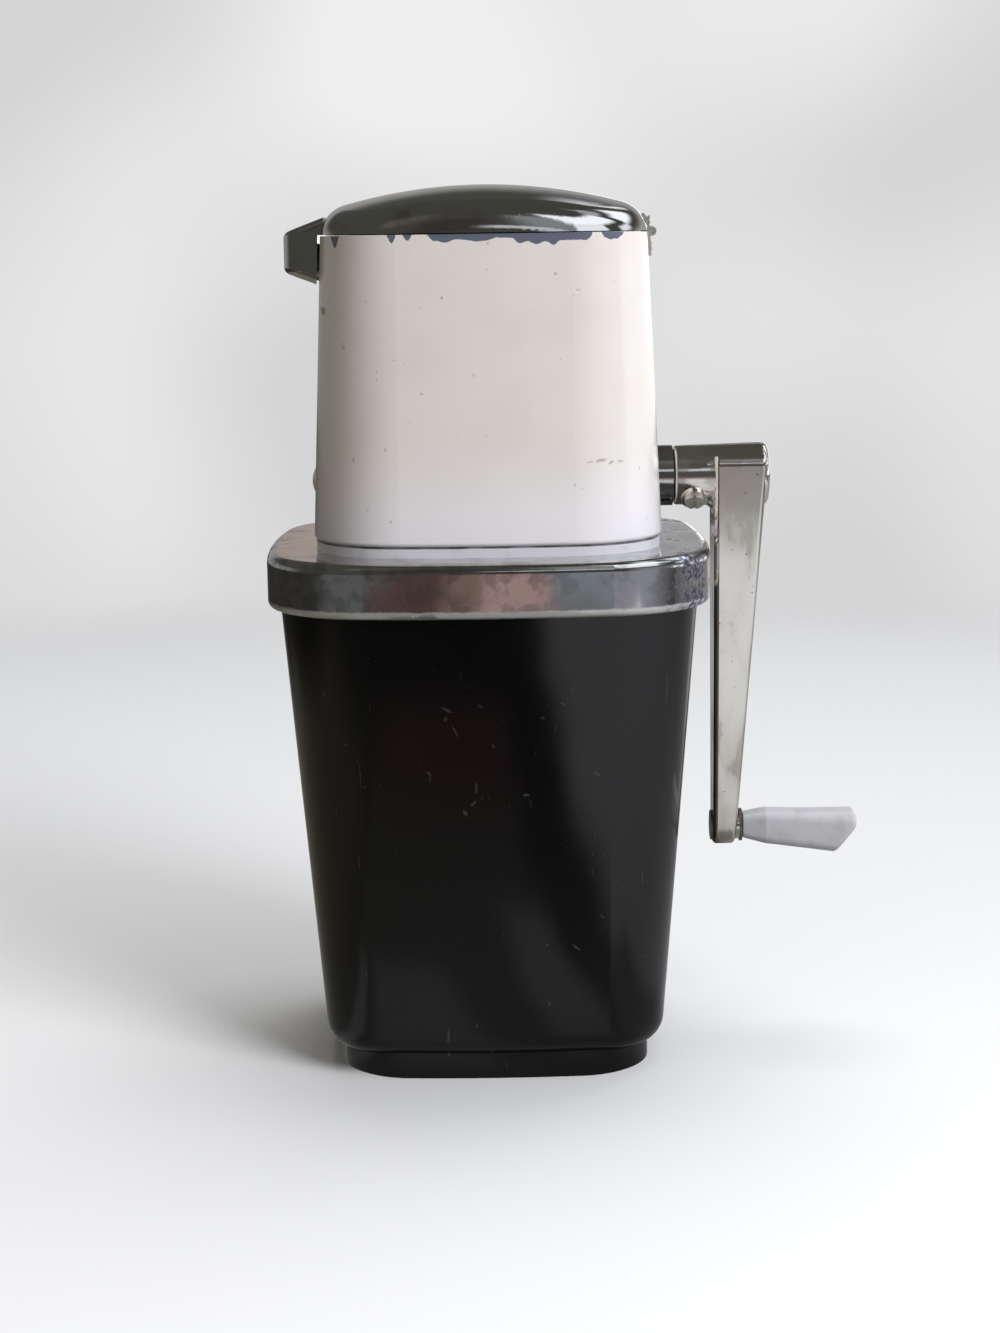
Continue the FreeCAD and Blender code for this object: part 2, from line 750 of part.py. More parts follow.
def make_knob():
    """A moulded grip: a short neck, a shoulder, and a long body cut off by a leaning end face."""
    shoulder = knob_section(knob_shoulder, knob_shoulder_half, knob_shoulder_drop)
    neck = Part.makeLoft([knob_section(0, knob_neck_half, 0), shoulder], True, True)
    middle = knob_section(knob_middle, knob_middle_half, knob_middle_drop)
    end = knob_section(knob_length + knob_overrun, knob_end_half, knob_end_drop)
    body = neck.fuse(Part.makeLoft([shoulder, middle, end], True, False))
    ridge = [edge for edge in body.Edges if edge.BoundBox.XLength < near
             and abs(edge.BoundBox.XMin - knob_start - knob_shoulder) < near]
    body = body.makeFillet(knob_ridge, ridge)
    nose_x = knob_start + knob_length
    beyond = block(Vector(0, -far, -far), Vector(far, far, far))
    leaning = beyond.copy()
    leaning.rotate(Vector(), Y, knob_end_lean)
    body = body.cut(beyond.translate(X * nose_x)).cut(leaning.translate(on_knob_axis(nose_x)))
    brow = [edge for edge in body.Edges if edge.BoundBox.XMin > nose_x - near
            and edge.BoundBox.ZLength < near]
    body = body.makeFillet(knob_nose_round, brow)
    end_edges = [edge for edge in edges_off(body, Y) if edge.BoundBox.XMin > knob_start + knob_middle]
    body = body.makeFillet(knob_edge, end_edges)
    body = body.cut(rod(spindle_radius + running_fit, on_knob_axis(0), on_knob_axis(knob_bore_end)))
    pocket_start = knob_bore_end - spindle_end - 2 * knob_play
    pocket = rod(spindle_end_radius + knob_play, on_knob_axis(pocket_start), on_knob_axis(knob_bore_end))
    return body.cut(pocket)


# ---- lid, tab and hinge ----

def lid_form(grow, low=lid_bottom):
    """The lid's outer form, grown or shrunk by an even skin and cut off at low."""
    plan = lid_plan.inset(-grow)
    return crowned(plan, low, lid_crown + grow, lid_crown_radius + grow, lid_edge_radius + grow)


def reach_of(shape, y, z):
    """How far out in X a solid about the Z axis comes at one place."""
    return Part.makeLine(Vector(0, y, z), Vector(far, y, z)).common(shape).BoundBox.XMax


def tab_screw_places():
    height = lid_bottom + tab_screw_rise
    places = []
    out = tab_width / 2 - tab_screw_edge
    for y in (-out, out):
        seat = -reach_of(lid_form(-lid_wall), y, height + small_head_radius)
        places.append((Vector(seat - lid_wall - tab_screw_bite, y, height), Vector(seat, y, height)))
    return places


def make_lid():
    lid = lid_form(0).cut(lid_form(-lid_wall, lid_bottom - overcut))
    lid = lid.cut(hinge_notch())
    for tip, seat in tab_screw_places():
        lid = lid.cut(rod(small_screw_radius + slip_fit, tip, seat))
    for tip, seat in strap_rivet_places():
        lid = lid.cut(rod(rivet_radius + slip_fit, tip, seat))
    return lid


def make_lid_tab():
    """A cast hook: it leans down from the lid's side, turns, and leans in again under the rim."""
    face = -lid_plan.half_x - tab_reach
    root = -lid_plan.half_x + tab_root
    top = lid_bottom + tab_rise

    def hook(inset, foot):
        lean = tab_slope * (root - face - inset)
        low = top - tab_face + inset - foot
        points = [Vector(root, 0, top + lean - inset), Vector(face + inset, 0, top - inset),
                  Vector(face + inset, 0, low), Vector(root, 0, low - lean)]
        half = tab_width / 2 - inset
        outline = Part.makePolygon([point - Y * half for point in points + points[:1]])
        return Part.Face(outline).extrude(Y * (2 * half))

    tab = hook(0, 0)
    upright = [edge for edge in tab.Edges
               if edge.BoundBox.XMax < face + near and edge.BoundBox.YLength < near]
    tab = tab.makeFillet(tab_corner, upright)
    tab = tab.makeFillet(tab_edge, [edge for edge in tab.Edges if edge.BoundBox.XMax < root - near])
    hollow = hook(tab_wall, tab_face)
    tab = tab.cut(hollow.cut(block(Vector(-far, -far, lid_bottom - tab_wall), Vector(far, far, far))))
    tab = tab.cut(lid_form(0).fuse(lid_plan.prism(lid_bottom - tab_edge, lid_bottom)))
    tab = tab.cut(housing_walls.solid(housing_bottom, lid_bottom, -tab_gap))
    for tip, seat in tab_screw_places():
        tab = tab.cut(rod(small_screw_radius + slip_fit, tip, seat))
    return tab


def make_tab_screws():
    screws = [screw(tip, seat, small_screw_radius, small_head_radius, small_head)
              for tip, seat in tab_screw_places()]
    return Part.makeCompound(screws)


def pin_room():
    clear = pin_radius + running_fit
    return rod(clear, Vector(hinge_x, -far, hinge_z), Vector(hinge_x, far, hinge_z))


def knuckles(y_low, y_high):
    return rod(barrel_radius, Vector(hinge_x, y_low, hinge_z), Vector(hinge_x, y_high, hinge_z))


def hinge_rivet_places():
    height = housing_top - barrel_radius - leaf_drop / 2
    places = []
    out = leaf_width / 2 - leaf_rivet_edge
    for y in (-out, out):
        wall = reach_of(housing_walls.solid(housing_bottom, housing_top), y, height - rivet_head_radius)
        seat = wall + leaf_thickness
        places.append((Vector(wall - housing_wall, y, height), Vector(seat, y, height)))
    return places


def make_hinge_leaf():
    """The fixed leaf: a curved plate on the housing's side, with a knuckle at each end."""
    half = leaf_width / 2
    knuckle_start = strap_width / 2 + barrel_gap
    low = housing_top - leaf_drop - barrel_radius
    plate = housing_walls.solid(low, housing_top, -leaf_thickness)
    plate = plate.cut(housing_walls.solid(low - overcut, housing_top + overcut))
    plate = plate.common(block(Vector(0, -half, low), Vector(far, half, housing_top - barrel_radius / 2)))
    strap_room = block(Vector(0, -knuckle_start, housing_top - barrel_radius - barrel_gap),
                       Vector(far, knuckle_start, far))
    leaf = plate.cut(strap_room)
    leaf = leaf.fuse(knuckles(-half, -knuckle_start)).fuse(knuckles(knuckle_start, half))
    for tip, seat in hinge_rivet_places():
        leaf = leaf.cut(rod(rivet_radius + slip_fit, tip, seat))
    return leaf.cut(pin_room())


def make_hinge_rivets():
    return Part.makeCompound([rivet(tip, seat) for tip, seat in hinge_rivet_places()])


def make_hinge_pin():
    half = leaf_width / 2
    return rod(pin_radius, Vector(hinge_x, -half, hinge_z), Vector(hinge_x, half, hinge_z))


def strap_rivet_places():
    height = lid_bottom + (strap_rise + barrel_radius) / 2
    places = []
    out = strap_width / 2 - strap_rivet_edge
    for y in (-out, out):
        seat = reach_of(lid_form(leaf_thickness), y, height - rivet_head_radius)
        places.append((Vector(seat - leaf_thickness - lid_wall, y, height), Vector(seat, y, height)))
    return places


def make_lid_strap():
    """The moving leaf: a plate that follows the lid's side down to its own knuckle."""
    half = strap_width / 2
    plate = lid_form(leaf_thickness).cut(lid_form(0))
    plate = plate.common(block(Vector(lid_plan.half_x / 2, -half, lid_bottom + barrel_radius / 2),
                               Vector(far, half, lid_bottom + strap_rise)))
    strap = plate.fuse(knuckles(-half, half)).cut(pin_room())
    for tip, seat in strap_rivet_places():
        strap = strap.cut(rod(rivet_radius + slip_fit, tip, seat))
    return strap


def make_strap_rivets():
    return Part.makeCompound([rivet(tip, seat) for tip, seat in strap_rivet_places()])


# ---- the nodes ----

def all_nodes():
    nodes = {
        "cup": make_cup(),
        "collar": make_collar(),
        "neck_ring": make_neck_ring(),
        "housing": make_housing(),
        "hopper": make_hopper(),
        "comb_fine": make_comb(spacer_radius + fine_gap, -1),
        "comb_coarse": make_comb(spacer_radius + coarse_gap, 1),
        "comb_screws": make_comb_screws(),
        "collar_screws": make_collar_screws(),
        "right_bearing": make_right_bearing(),
        "left_bearing": make_left_bearing(),
        "left_cap": make_left_cap(),
        "hinge_leaf": make_hinge_leaf(),
        "hinge_rivets": make_hinge_rivets(),
        "hinge_pin": make_hinge_pin(),
        "lid": make_lid(),
        "lid_strap": make_lid_strap(),
        "strap_rivets": make_strap_rivets(),
        "lid_tab": make_lid_tab(),
        "tab_screws": make_tab_screws(),
        "drive_shaft": make_drive_shaft(),
        "crank_arm": make_crank_arm(),
        "set_screw": make_set_screw(),
        "knob_spindle": make_knob_spindle(),
        "knob_washer": make_knob_washer(),
        "knob": make_knob(),
    }
    for index in range(blade_count):
        nodes["blade_%d" % (index + 1)] = make_blade(index)
    for index in range(blade_count + 1):
        nodes["spacer_%d" % (index + 1)] = make_spacer(index)
    return nodes


def main():
    os.makedirs("parts", exist_ok=True)
    for name, shape in all_nodes().items():
        shape.exportStep("parts/%s.step" % name)
        print(name, len(shape.Solids), shape.isValid(), round(shape.Volume, 1))


main()
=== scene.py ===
import math

import bpy
import numpy as np
from mathutils import Matrix

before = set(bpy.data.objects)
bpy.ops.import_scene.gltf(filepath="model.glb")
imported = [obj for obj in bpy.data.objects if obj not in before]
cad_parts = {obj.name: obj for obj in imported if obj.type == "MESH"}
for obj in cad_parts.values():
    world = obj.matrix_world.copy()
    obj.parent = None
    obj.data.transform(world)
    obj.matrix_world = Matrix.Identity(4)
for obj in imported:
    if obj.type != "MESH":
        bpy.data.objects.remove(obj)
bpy.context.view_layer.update()            # the packed ice crusher, fixed
mm = 0.001
print("frame loaded,", len(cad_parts), "nodes")


def linear(hexColour, strength=1.0):
    # an sRGB hex colour as linear red, green, blue and alpha
    parts = np.array([int(hexColour[i:i + 2], 16) / 255 for i in (1, 3, 5)])
    parts = np.where(parts <= 0.04045, parts / 12.92, ((parts + 0.055) / 1.055) ** 2.4)
    return [*(parts * strength).tolist(), 1.0]


def addNode(tree, kind, inputs=None, stops=None, **settings):
    # adds one node; an input is a value, or the node or socket that feeds it; stops fill a colour ramp
    node = tree.nodes.new("ShaderNode" + kind)
    for name, value in settings.items():
        setattr(node, name, value)
    if stops:
        for position, colour in stops[1:-1]:
            node.color_ramp.elements.new(position).color = colour
        for end in (0, -1):
            node.color_ramp.elements[end].position, node.color_ramp.elements[end].color = stops[end]
    for name, value in (inputs or {}).items():
        if isinstance(value, bpy.types.Node):
            value = next(socket for socket in value.outputs if socket.enabled)
        if isinstance(value, bpy.types.NodeSocket):
            tree.links.new(value, node.inputs[name])
        else:
            node.inputs[name].default_value = value
    return node


def startFinish(name):
    # a new material, empty but for its output; place is where the surface is, in metres
    material = bpy.data.materials.new(name)
    material.use_nodes = True
    tree = material.node_tree
    tree.nodes.clear()
    place = addNode(tree, "TexCoord").outputs["Object"]
    return material, tree, place


def endFinish(tree, shader):
    addNode(tree, "OutputMaterial", {"Surface": shader})


def softRectangle(tree, sideways, upright, middle, half, soft):
    # 1 inside a rectangle of two measures and 0 outside, eased over its soft edge
    mask = 1.0
    for measure, centre, reach, edge in zip((sideways, upright), middle, half, soft):
        offset = addNode(tree, "Math", {0: measure, 1: centre}, operation="SUBTRACT")
        offset = addNode(tree, "Math", {0: offset}, operation="ABSOLUTE")
        inside = addNode(tree, "MapRange", {"Value": offset, "From Min": reach + edge,
                                            "From Max": reach - edge}, interpolation_type="SMOOTHSTEP")
        mask = addNode(tree, "Math", {0: mask, 1: inside}, operation="MULTIPLY")
    return mask


spotShape = {
    "ragMm": 0.7,            # the size of the rags along a spot's edge
    "ragDepthMm": 0.8,
    "front": -10,            # spots are drawn only in front of this, mm
    "edge": (1.1, 0.5),      # in half widths, where a spot begins and where it is full
}


def longSpots(tree, place, spots):
    # 1 on each of a few long spots on the front, 0 elsewhere; a spot is its place across and up, its half
    # length and half width in mm, its lean to the right in degrees, and how strong it is
    look = spotShape
    begins, full = look["edge"]
    roughCloud = addNode(tree, "TexNoise", {"Vector": place, "Scale": 1000 / look["ragMm"], "Detail": 2})
    shift = addNode(tree, "VectorMath", {0: roughCloud.outputs["Color"], 1: (0.5, 0.5, 0.5)},
                    operation="SUBTRACT")
    shift = addNode(tree, "VectorMath", {0: shift, "Scale": look["ragDepthMm"] * mm}, operation="SCALE")
    jagged = addNode(tree, "VectorMath", {0: place, 1: shift}, operation="ADD")
    spotted = 0.0
    for across, up, length, width, lean, strength in spots:
        own = addNode(tree, "Mapping", {"Vector": jagged, "Location": (across * mm, 0, up * mm),
                                        "Rotation": (0, math.radians(lean), 0),
                                        "Scale": (width * mm, 1, length * mm)}, vector_type="TEXTURE")
        level = addNode(tree, "VectorMath", {0: own, 1: (1, 0, 1)}, operation="MULTIPLY")
        reach = addNode(tree, "VectorMath", {0: level}, operation="LENGTH")
        spot = addNode(tree, "MapRange", {"Value": reach, "From Min": begins, "From Max": full,
                                          "To Max": strength})
        spotted = addNode(tree, "Math", {0: spotted, 1: spot}, operation="MAXIMUM")
    front = addNode(tree, "SeparateXYZ", {0: place}).outputs["Y"]
    front = addNode(tree, "Math", {0: front, 1: look["front"] * mm}, operation="LESS_THAN")
    return addNode(tree, "Math", {0: spotted, 1: front}, operation="MULTIPLY")


# Chromium plate on pressed and polished steel: a dark mirror, with the long soft waves of the
# pressed sheet, hair scratches, and pits where the plate is thin.
chromePlate = {
    "colour": "#c8c8c6",
    "haze": "#a39f98",
    "pit": "#43466b",
    "waveMm": 26,
    "waveDepthMm": 0.035,
    "scuffMm": 8,
    "scuffs": {"From Min": 0.52, "From Max": 0.8},      # levels of their cloud: begin and full
    "hairMm": 0.9,           # the real hairs are finer than the render shows
    "hairTurn": (0.3, 0.5, 0.9),
    "hairStretch": (1, 0.06, 1),
    "hairs": {"From Min": 0.66, "From Max": 0.76, "To Max": 0.35},      # the same, and how strong they are
    "pitMm": 1.3,            # the real pits are finer too
    "pits": {"From Min": 0.74, "From Max": 0.8},
    "pitDepthMm": 0.03,
    "pitSharpness": 0.6,
    "roughness": 0.06,
    "scuffed": 0.2,          # roughness where it is rubbed
    "pitted": 0.4,           # and how much a pit adds
}
collarWear = {
    "stain": "#8b8d90",      # dried water and old grease, with sharp edges
    "stainMm": 4.5,
    "stainRagged": 0.4,
    "stains": {"From Min": 0.48, "From Max": 0.6, "To Max": 0.45},
    "stained": 0.12,         # how much a stain adds to the roughness
    "lipHighlight": "#c9c8c4",       # painted highlight: a pale line along the lip that stands in for its bright reflection
    "lipHighlightMm": 3,
    "lipHighlightStrength": 0.7,
    "lipHighlightRoughness": 0.3,            # how much it adds to the roughness
    "lipHighlightMetallic": 0.3,     # how metallic the surface still is where the painted highlight is full
    "lipTop": 130.0,         # mm
    "lipRagged": 0.8,        # how far the line wanders down, mm
    "lipSoft": 0.5,          # mm
    "manyPits": {"From Min": 0.44, "From Max": 0.54, "To Max": 0.9},    # where the plate has gone
    "gone": (47, 55),        # how far out from the middle it begins to go and has gone, mm
    "crankSide": 4,          # how much nearer that is on the crank's side, and farther on the other, mm
    "crowdMm": 10,           # the size of the crowds of pits
    "thickCrowd": {"From Min": 0.28, "From Max": 0.44},     # at the ends of the front
    "patchyCrowd": {"From Min": 0.54, "From Max": 0.66},    # along the sides
    "corner": (-30, -42),    # where the patchy crowds end and the thick ones are full, mm
}


def makeChromePlate(name, old):
    look = chromePlate
    material, tree, place = startFinish(name)
    scuffCloud = addNode(tree, "TexNoise", {"Vector": place, "Scale": 1000 / look["scuffMm"],
                                            "Detail": 7})
    scuff = addNode(tree, "MapRange", {"Value": scuffCloud, **look["scuffs"]},
                    interpolation_type="SMOOTHSTEP")
    alongHairs = addNode(tree, "Mapping", {"Vector": place, "Rotation": look["hairTurn"],
                                           "Scale": look["hairStretch"]})
    hairCloud = addNode(tree, "TexNoise", {"Vector": alongHairs, "Scale": 1000 / look["hairMm"],
                                           "Detail": 2})
    hair = addNode(tree, "MapRange", {"Value": hairCloud, **look["hairs"]})
    worn = addNode(tree, "Math", {0: scuff, 1: hair}, operation="MAXIMUM")
    colour = addNode(tree, "Mix", {0: worn, 6: linear(look["colour"]), 7: linear(look["haze"])},
                     data_type="RGBA")
    speck = addNode(tree, "TexNoise", {"Vector": place, "Scale": 1000 / look["pitMm"], "Detail": 3})
    pits = addNode(tree, "MapRange", {"Value": speck, **look["pits"]})
    rough = addNode(tree, "MapRange", {"Value": worn, "To Min": look["roughness"],
                                       "To Max": look["scuffed"]})
    metallic = 1.0
    if old:
        wear = collarWear
        stain, goneness, lipHighlight = addCollarWear(tree, place)
        colour = addNode(tree, "Mix", {0: stain, 6: colour, 7: linear(wear["stain"])}, data_type="RGBA")
        rough = addNode(tree, "Math", {0: stain, 1: wear["stained"], 2: rough}, operation="MULTIPLY_ADD")
        manyPits = addNode(tree, "MapRange", {"Value": speck, **wear["manyPits"]})
        manyPits = addNode(tree, "Math", {0: manyPits, 1: goneness}, operation="MULTIPLY")
        pits = addNode(tree, "Math", {0: pits, 1: manyPits}, operation="MAXIMUM")
        # the painted highlight along the lip
        colour = addNode(tree, "Mix", {0: lipHighlight, 6: colour, 7: linear(wear["lipHighlight"])}, data_type="RGBA")
        rough = addNode(tree, "Math", {0: lipHighlight, 1: wear["lipHighlightRoughness"], 2: rough}, operation="MULTIPLY_ADD")
        metallic = addNode(tree, "MapRange", {"Value": lipHighlight, "To Min": 1.0, "To Max": wear["lipHighlightMetallic"]})
    colour = addNode(tree, "Mix", {0: pits, 6: colour, 7: linear(look["pit"])}, data_type="RGBA")
    rough = addNode(tree, "Math", {0: pits, 1: look["pitted"], 2: rough}, operation="MULTIPLY_ADD")
    waveCloud = addNode(tree, "TexNoise", {"Vector": place, "Scale": 1000 / look["waveMm"], "Detail": 1})
    wave = addNode(tree, "Bump", {"Strength": 1.0, "Distance": look["waveDepthMm"] * mm,
                                  "Height": waveCloud})
    dent = addNode(tree, "Bump", {"Strength": look["pitSharpness"], "Distance": look["pitDepthMm"] * mm,
                                  "Height": pits, "Normal": wave}, invert=True)
    shader = addNode(tree, "BsdfPrincipled", {"Base Color": colour, "Metallic": metallic, "Roughness": rough,
                                              "Normal": dent})
    endFinish(tree, shader)
    return material


def addCollarWear(tree, place):
    # how stained the collar is, how far its plate has gone to pits, and where the painted highlight lies
    # along its lip
    look = collarWear
    split = addNode(tree, "SeparateXYZ", {0: place})
    stainCloud = addNode(tree, "TexNoise", {"Vector": place, "Scale": 1000 / look["stainMm"], "Detail": 6,
                                            "Distortion": look["stainRagged"]})
    stain = addNode(tree, "MapRange", {"Value": stainCloud, **look["stains"]})
    sideways = addNode(tree, "Math", {0: split.outputs["X"], 1: look["crankSide"] * mm},
                       operation="ADD")
    sideways = addNode(tree, "Math", {0: sideways}, operation="ABSOLUTE")
    begin, gone = look["gone"]
    outer = addNode(tree, "MapRange", {"Value": sideways, "From Min": begin * mm, "From Max": gone * mm})
    crowdCloud = addNode(tree, "TexNoise", {"Vector": place, "Scale": 1000 / look["crowdMm"],
                                            "Detail": 4})
    crowd = addNode(tree, "MapRange", {"Value": crowdCloud, **look["thickCrowd"]})
    begin, thick = look["corner"]
    corner = addNode(tree, "MapRange", {"Value": split.outputs["Y"], "From Min": begin * mm,
                                        "From Max": thick * mm})
    patchy = addNode(tree, "MapRange", {"Value": crowdCloud, **look["patchyCrowd"]})
    crowd = addNode(tree, "Mix", {0: corner, 2: patchy, 3: crowd})
    goneness = addNode(tree, "Math", {0: outer, 1: crowd}, operation="MULTIPLY")
    # painted highlight: a pale, ragged line along the lip
    lipHighlightCloud = addNode(tree, "TexNoise", {"Vector": place, "Scale": 1000 / look["lipHighlightMm"], "Detail": 4})
    highest = look["lipTop"] + look["lipRagged"] / 2
    edge = addNode(tree, "Math", {0: lipHighlightCloud, 1: -look["lipRagged"] * mm, 2: highest * mm},
                   operation="MULTIPLY_ADD")
    under = addNode(tree, "Math", {0: edge, 1: split.outputs["Z"]}, operation="SUBTRACT")
    lipHighlight = addNode(tree, "MapRange", {"Value": under, "From Max": look["lipSoft"] * mm,
                                      "To Max": look["lipHighlightStrength"]})
    return stain, goneness, lipHighlight


# Stoved enamel, sprayed on sheet steel and baked: a soft even gloss, chipped at the rim to the
# slate-blue undercoat, faintly stained, and made paler and bluer towards the collar by painted bounce light.
creamEnamel = {
    "colour": "#e4ded7",
    "stain": "#d8d1c9",
    # painted bounce light: the paler, bluer colour that the enamel takes towards the collar
    "low": "#eeebf0",
    "speck": "#6b5f55",
    "undercoat": "#5f6675",
    "roughness": 0.2,
    "rubbed": (-0.06, 0.08),           # how far rubbing takes the roughness down and up
    "rubbedMm": 5,
    "coat": 0.3,             # the clear skin that baking gives it
    "coatRoughness": 0.08,
    "stainMm": 18,
    "stains": {"From Min": 0.45, "From Max": 0.8, "To Max": 0.5},
    "speckMm": 2.2,
    "specks": {"From Min": 0.76, "From Max": 0.8, "To Max": 0.35},
    "peelMm": 1.6,           # orange peel of the sprayed coat
    "peelDepthMm": 0.02,
    "peelSharpness": 0.3,
    "bounceHeights": (174, 146),    # the heights where it begins to look cooler and is coolest, mm
    "bounceShare": 0.8,          # how far it then is to the low colour
    "rim": 224.4,            # height of the rim, mm
    "rimWidth": 100.0,       # the width that the list of chips spans, mm
    "deepest": 4.0,          # the deepest that a chip can be, mm
    "ragMm": 1.6,            # the rags along the chips' edges
    "ragged": 0.16,          # how deep those are, as a share of the deepest chip
    "otherChipMm": 9,        # the size of the chips away from the front
    "otherChips": {"From Min": 0.56, "From Max": 0.85},
    "front": (-18, -26),     # where the list of chips begins to hold and holds, mm
    "noChip": 0.02,          # the rags alone make no chip where the list's depth is under this share
    "chipEdge": 0.05,        # how soft a chip's edge is, as a share of the deepest
    "chipDepthMm": 0.2,
    "chipped": 0.2,          # how much a chip adds to the roughness
}
rimWear = [                  # along the front's rim: place and depth of the chips, mm
    (-39.4, 0), (-38.3, 3.2), (-37.2, 0), (-24.5, 0), (-23.4, 2.2), (-22.3, 0), (-20.5, 0), (-19.3, 1.7),
    (-18.2, 0), (-14.3, 0), (-12.6, 1.7), (-9.8, 2.2), (-7.0, 1.5), (-1.1, 2.0), (3.8, 1.1), (7.4, 1.3),
    (9.3, 2.7), (11.4, 2.1), (13.6, 3.0), (15.6, 2.2), (17.8, 3.0), (19.6, 2.0), (25.9, 2.0), (27.1, 1.5),
    (27.6, 0), (30.2, 0), (31.1, 1.5), (32.6, 2.0), (34.3, 1.8), (35.3, 1.0), (35.9, 0),
]
enamelNicks = [              # across, up, half length, half width, lean, strength
    (-42.2, 205.2, 1.3, 0.9, 0, 1.0), (-36.5, 196.0, 0.6, 0.4, 20, 0.4), (-10.8, 208.5, 0.5, 0.5, 0, 0.4),
    (-26.0, 170.0, 0.5, 0.4, 0, 0.4), (-3.0, 188.8, 0.5, 0.4, 0, 0.3), (22.6, 160.4, 0.7, 0.3, 30, 0.3),
    (26.6, 166.2, 1.2, 0.3, 84, 0.3), (29.4, 166.5, 1.6, 0.5, 80, 0.5), (32.0, 165.8, 0.9, 0.4, 60, 0.5),
    (34.6, 166.0, 0.8, 0.4, 95, 0.4),
]


def makeCreamEnamel():
    look = creamEnamel
    material, tree, place = startFinish("stovedCreamEnamel")
    split = addNode(tree, "SeparateXYZ", {0: place})
    stainCloud = addNode(tree, "TexNoise", {"Vector": place, "Scale": 1000 / look["stainMm"], "Detail": 6})
    stain = addNode(tree, "MapRange", {"Value": stainCloud, **look["stains"]})
    colour = addNode(tree, "Mix", {0: stain, 6: linear(look["colour"]), 7: linear(look["stain"])},
                     data_type="RGBA")
    begin, end = look["bounceHeights"]
    # painted bounce light: paler and bluer towards the collar
    paintedBounce = addNode(tree, "MapRange", {"Value": split.outputs["Z"], "From Min": begin * mm,
                                       "From Max": end * mm, "To Max": look["bounceShare"]},
                    interpolation_type="SMOOTHSTEP")
    colour = addNode(tree, "Mix", {0: paintedBounce, 6: colour, 7: linear(look["low"])}, data_type="RGBA")

    # the chips: how far down from the rim the enamel is gone, by place along the front
    width = look["rimWidth"]
    along = addNode(tree, "MapRange", {"Value": split.outputs["X"], "From Min": -width / 2 * mm,
                                       "From Max": width / 2 * mm})
    stops = [(x / width + 0.5, [(depth / look["deepest"]) ** 2] * 3 + [1.0]) for x, depth in rimWear]
    frontDepth = addNode(tree, "ValToRGB", {"Fac": along}, stops)
    frontDepth.color_ramp.interpolation = "EASE"
    frontDepth = addNode(tree, "Math", {0: frontDepth}, operation="SQRT")      # rounds the chips' ends
    otherCloud = addNode(tree, "TexNoise", {"Vector": place, "Scale": 1000 / look["otherChipMm"],
                                            "Detail": 2})
    otherDepth = addNode(tree, "MapRange", {"Value": otherCloud, **look["otherChips"]})
    begin, holds = look["front"]
    front = addNode(tree, "MapRange", {"Value": split.outputs["Y"], "From Min": begin * mm,
                                       "From Max": holds * mm})
    depth = addNode(tree, "Mix", {0: front, 2: otherDepth, 3: frontDepth})
    ragged = addNode(tree, "TexNoise", {"Vector": place, "Scale": 1000 / look["ragMm"], "Detail": 3})
    ragged = addNode(tree, "MapRange", {"Value": ragged, "To Min": -0.5, "To Max": 0.5})
    fromRim = addNode(tree, "MapRange", {"Value": split.outputs["Z"], "From Min": look["rim"] * mm,
                                         "From Max": (look["rim"] - look["deepest"]) * mm})
    over = addNode(tree, "Math", {0: depth, 1: fromRim}, operation="SUBTRACT")
    over = addNode(tree, "Math", {0: ragged, 1: look["ragged"], 2: over}, operation="MULTIPLY_ADD")
    chips = addNode(tree, "MapRange", {"Value": over, "From Max": look["chipEdge"]})
    anyChip = addNode(tree, "Math", {0: depth, 1: look["noChip"]}, operation="GREATER_THAN")
    chips = addNode(tree, "Math", {0: chips, 1: anyChip}, operation="MULTIPLY")
    speckCloud = addNode(tree, "TexNoise", {"Vector": place, "Scale": 1000 / look["speckMm"],
                                            "Detail": 1})
    specks = addNode(tree, "MapRange", {"Value": speckCloud, **look["specks"]})
    nicks = longSpots(tree, place, enamelNicks)
    specks = addNode(tree, "Math", {0: specks, 1: nicks}, operation="MAXIMUM")
    colour = addNode(tree, "Mix", {0: specks, 6: colour, 7: linear(look["speck"])}, data_type="RGBA")
    colour = addNode(tree, "Mix", {0: chips, 6: colour, 7: linear(look["undercoat"])}, data_type="RGBA")

    rubbed = addNode(tree, "TexNoise", {"Vector": place, "Scale": 1000 / look["rubbedMm"], "Detail": 5})
    smoother, duller = look["rubbed"]
    rough = addNode(tree, "MapRange", {"Value": rubbed, "To Min": look["roughness"] + smoother,
                                       "To Max": look["roughness"] + duller})
    rough = addNode(tree, "Math", {0: chips, 1: look["chipped"], 2: rough}, operation="MULTIPLY_ADD")
    peelCloud = addNode(tree, "TexNoise", {"Vector": place, "Scale": 1000 / look["peelMm"], "Detail": 1})
    peel = addNode(tree, "Bump", {"Strength": look["peelSharpness"],
                                  "Distance": look["peelDepthMm"] * mm, "Height": peelCloud})
    sunk = addNode(tree, "Bump", {"Strength": 1.0, "Distance": look["chipDepthMm"] * mm, "Height": chips,
                                  "Normal": peel}, invert=True)
    shader = addNode(tree, "BsdfPrincipled", {"Base Color": colour, "Roughness": rough, "Normal": sunk,
                                              "Coat Weight": look["coat"],
                                              "Coat Roughness": look["coatRoughness"]})
    endFinish(tree, shader)
    return material


# The same enamel on the neck ring, tinted bluish by painted bounce light, with kitchen grime here and there
# and painted shade mixed with grime along the seam above it.
neckEnamel = {
    # painted bounce light: the cream enamel tinted bluish
    "colour": "#d9d8de",
    "grimeAndSeamShade": "#85817f",
    "grimeMm": 6,
    "grimes": {"From Min": 0.55, "From Max": 0.8, "To Max": 0.35},      # here and there on the ring
    # painted shade along the seam under the housing, mixed with grime
    "seamShadeGrimes": {"From Min": 0.35, "From Max": 0.6, "To Min": 0.2},   # thicker, along the seam
    "seamHeight": 144.4,     # mm
    "seamSoft": 0.1,         # mm
    "roughness": 0.28,
}


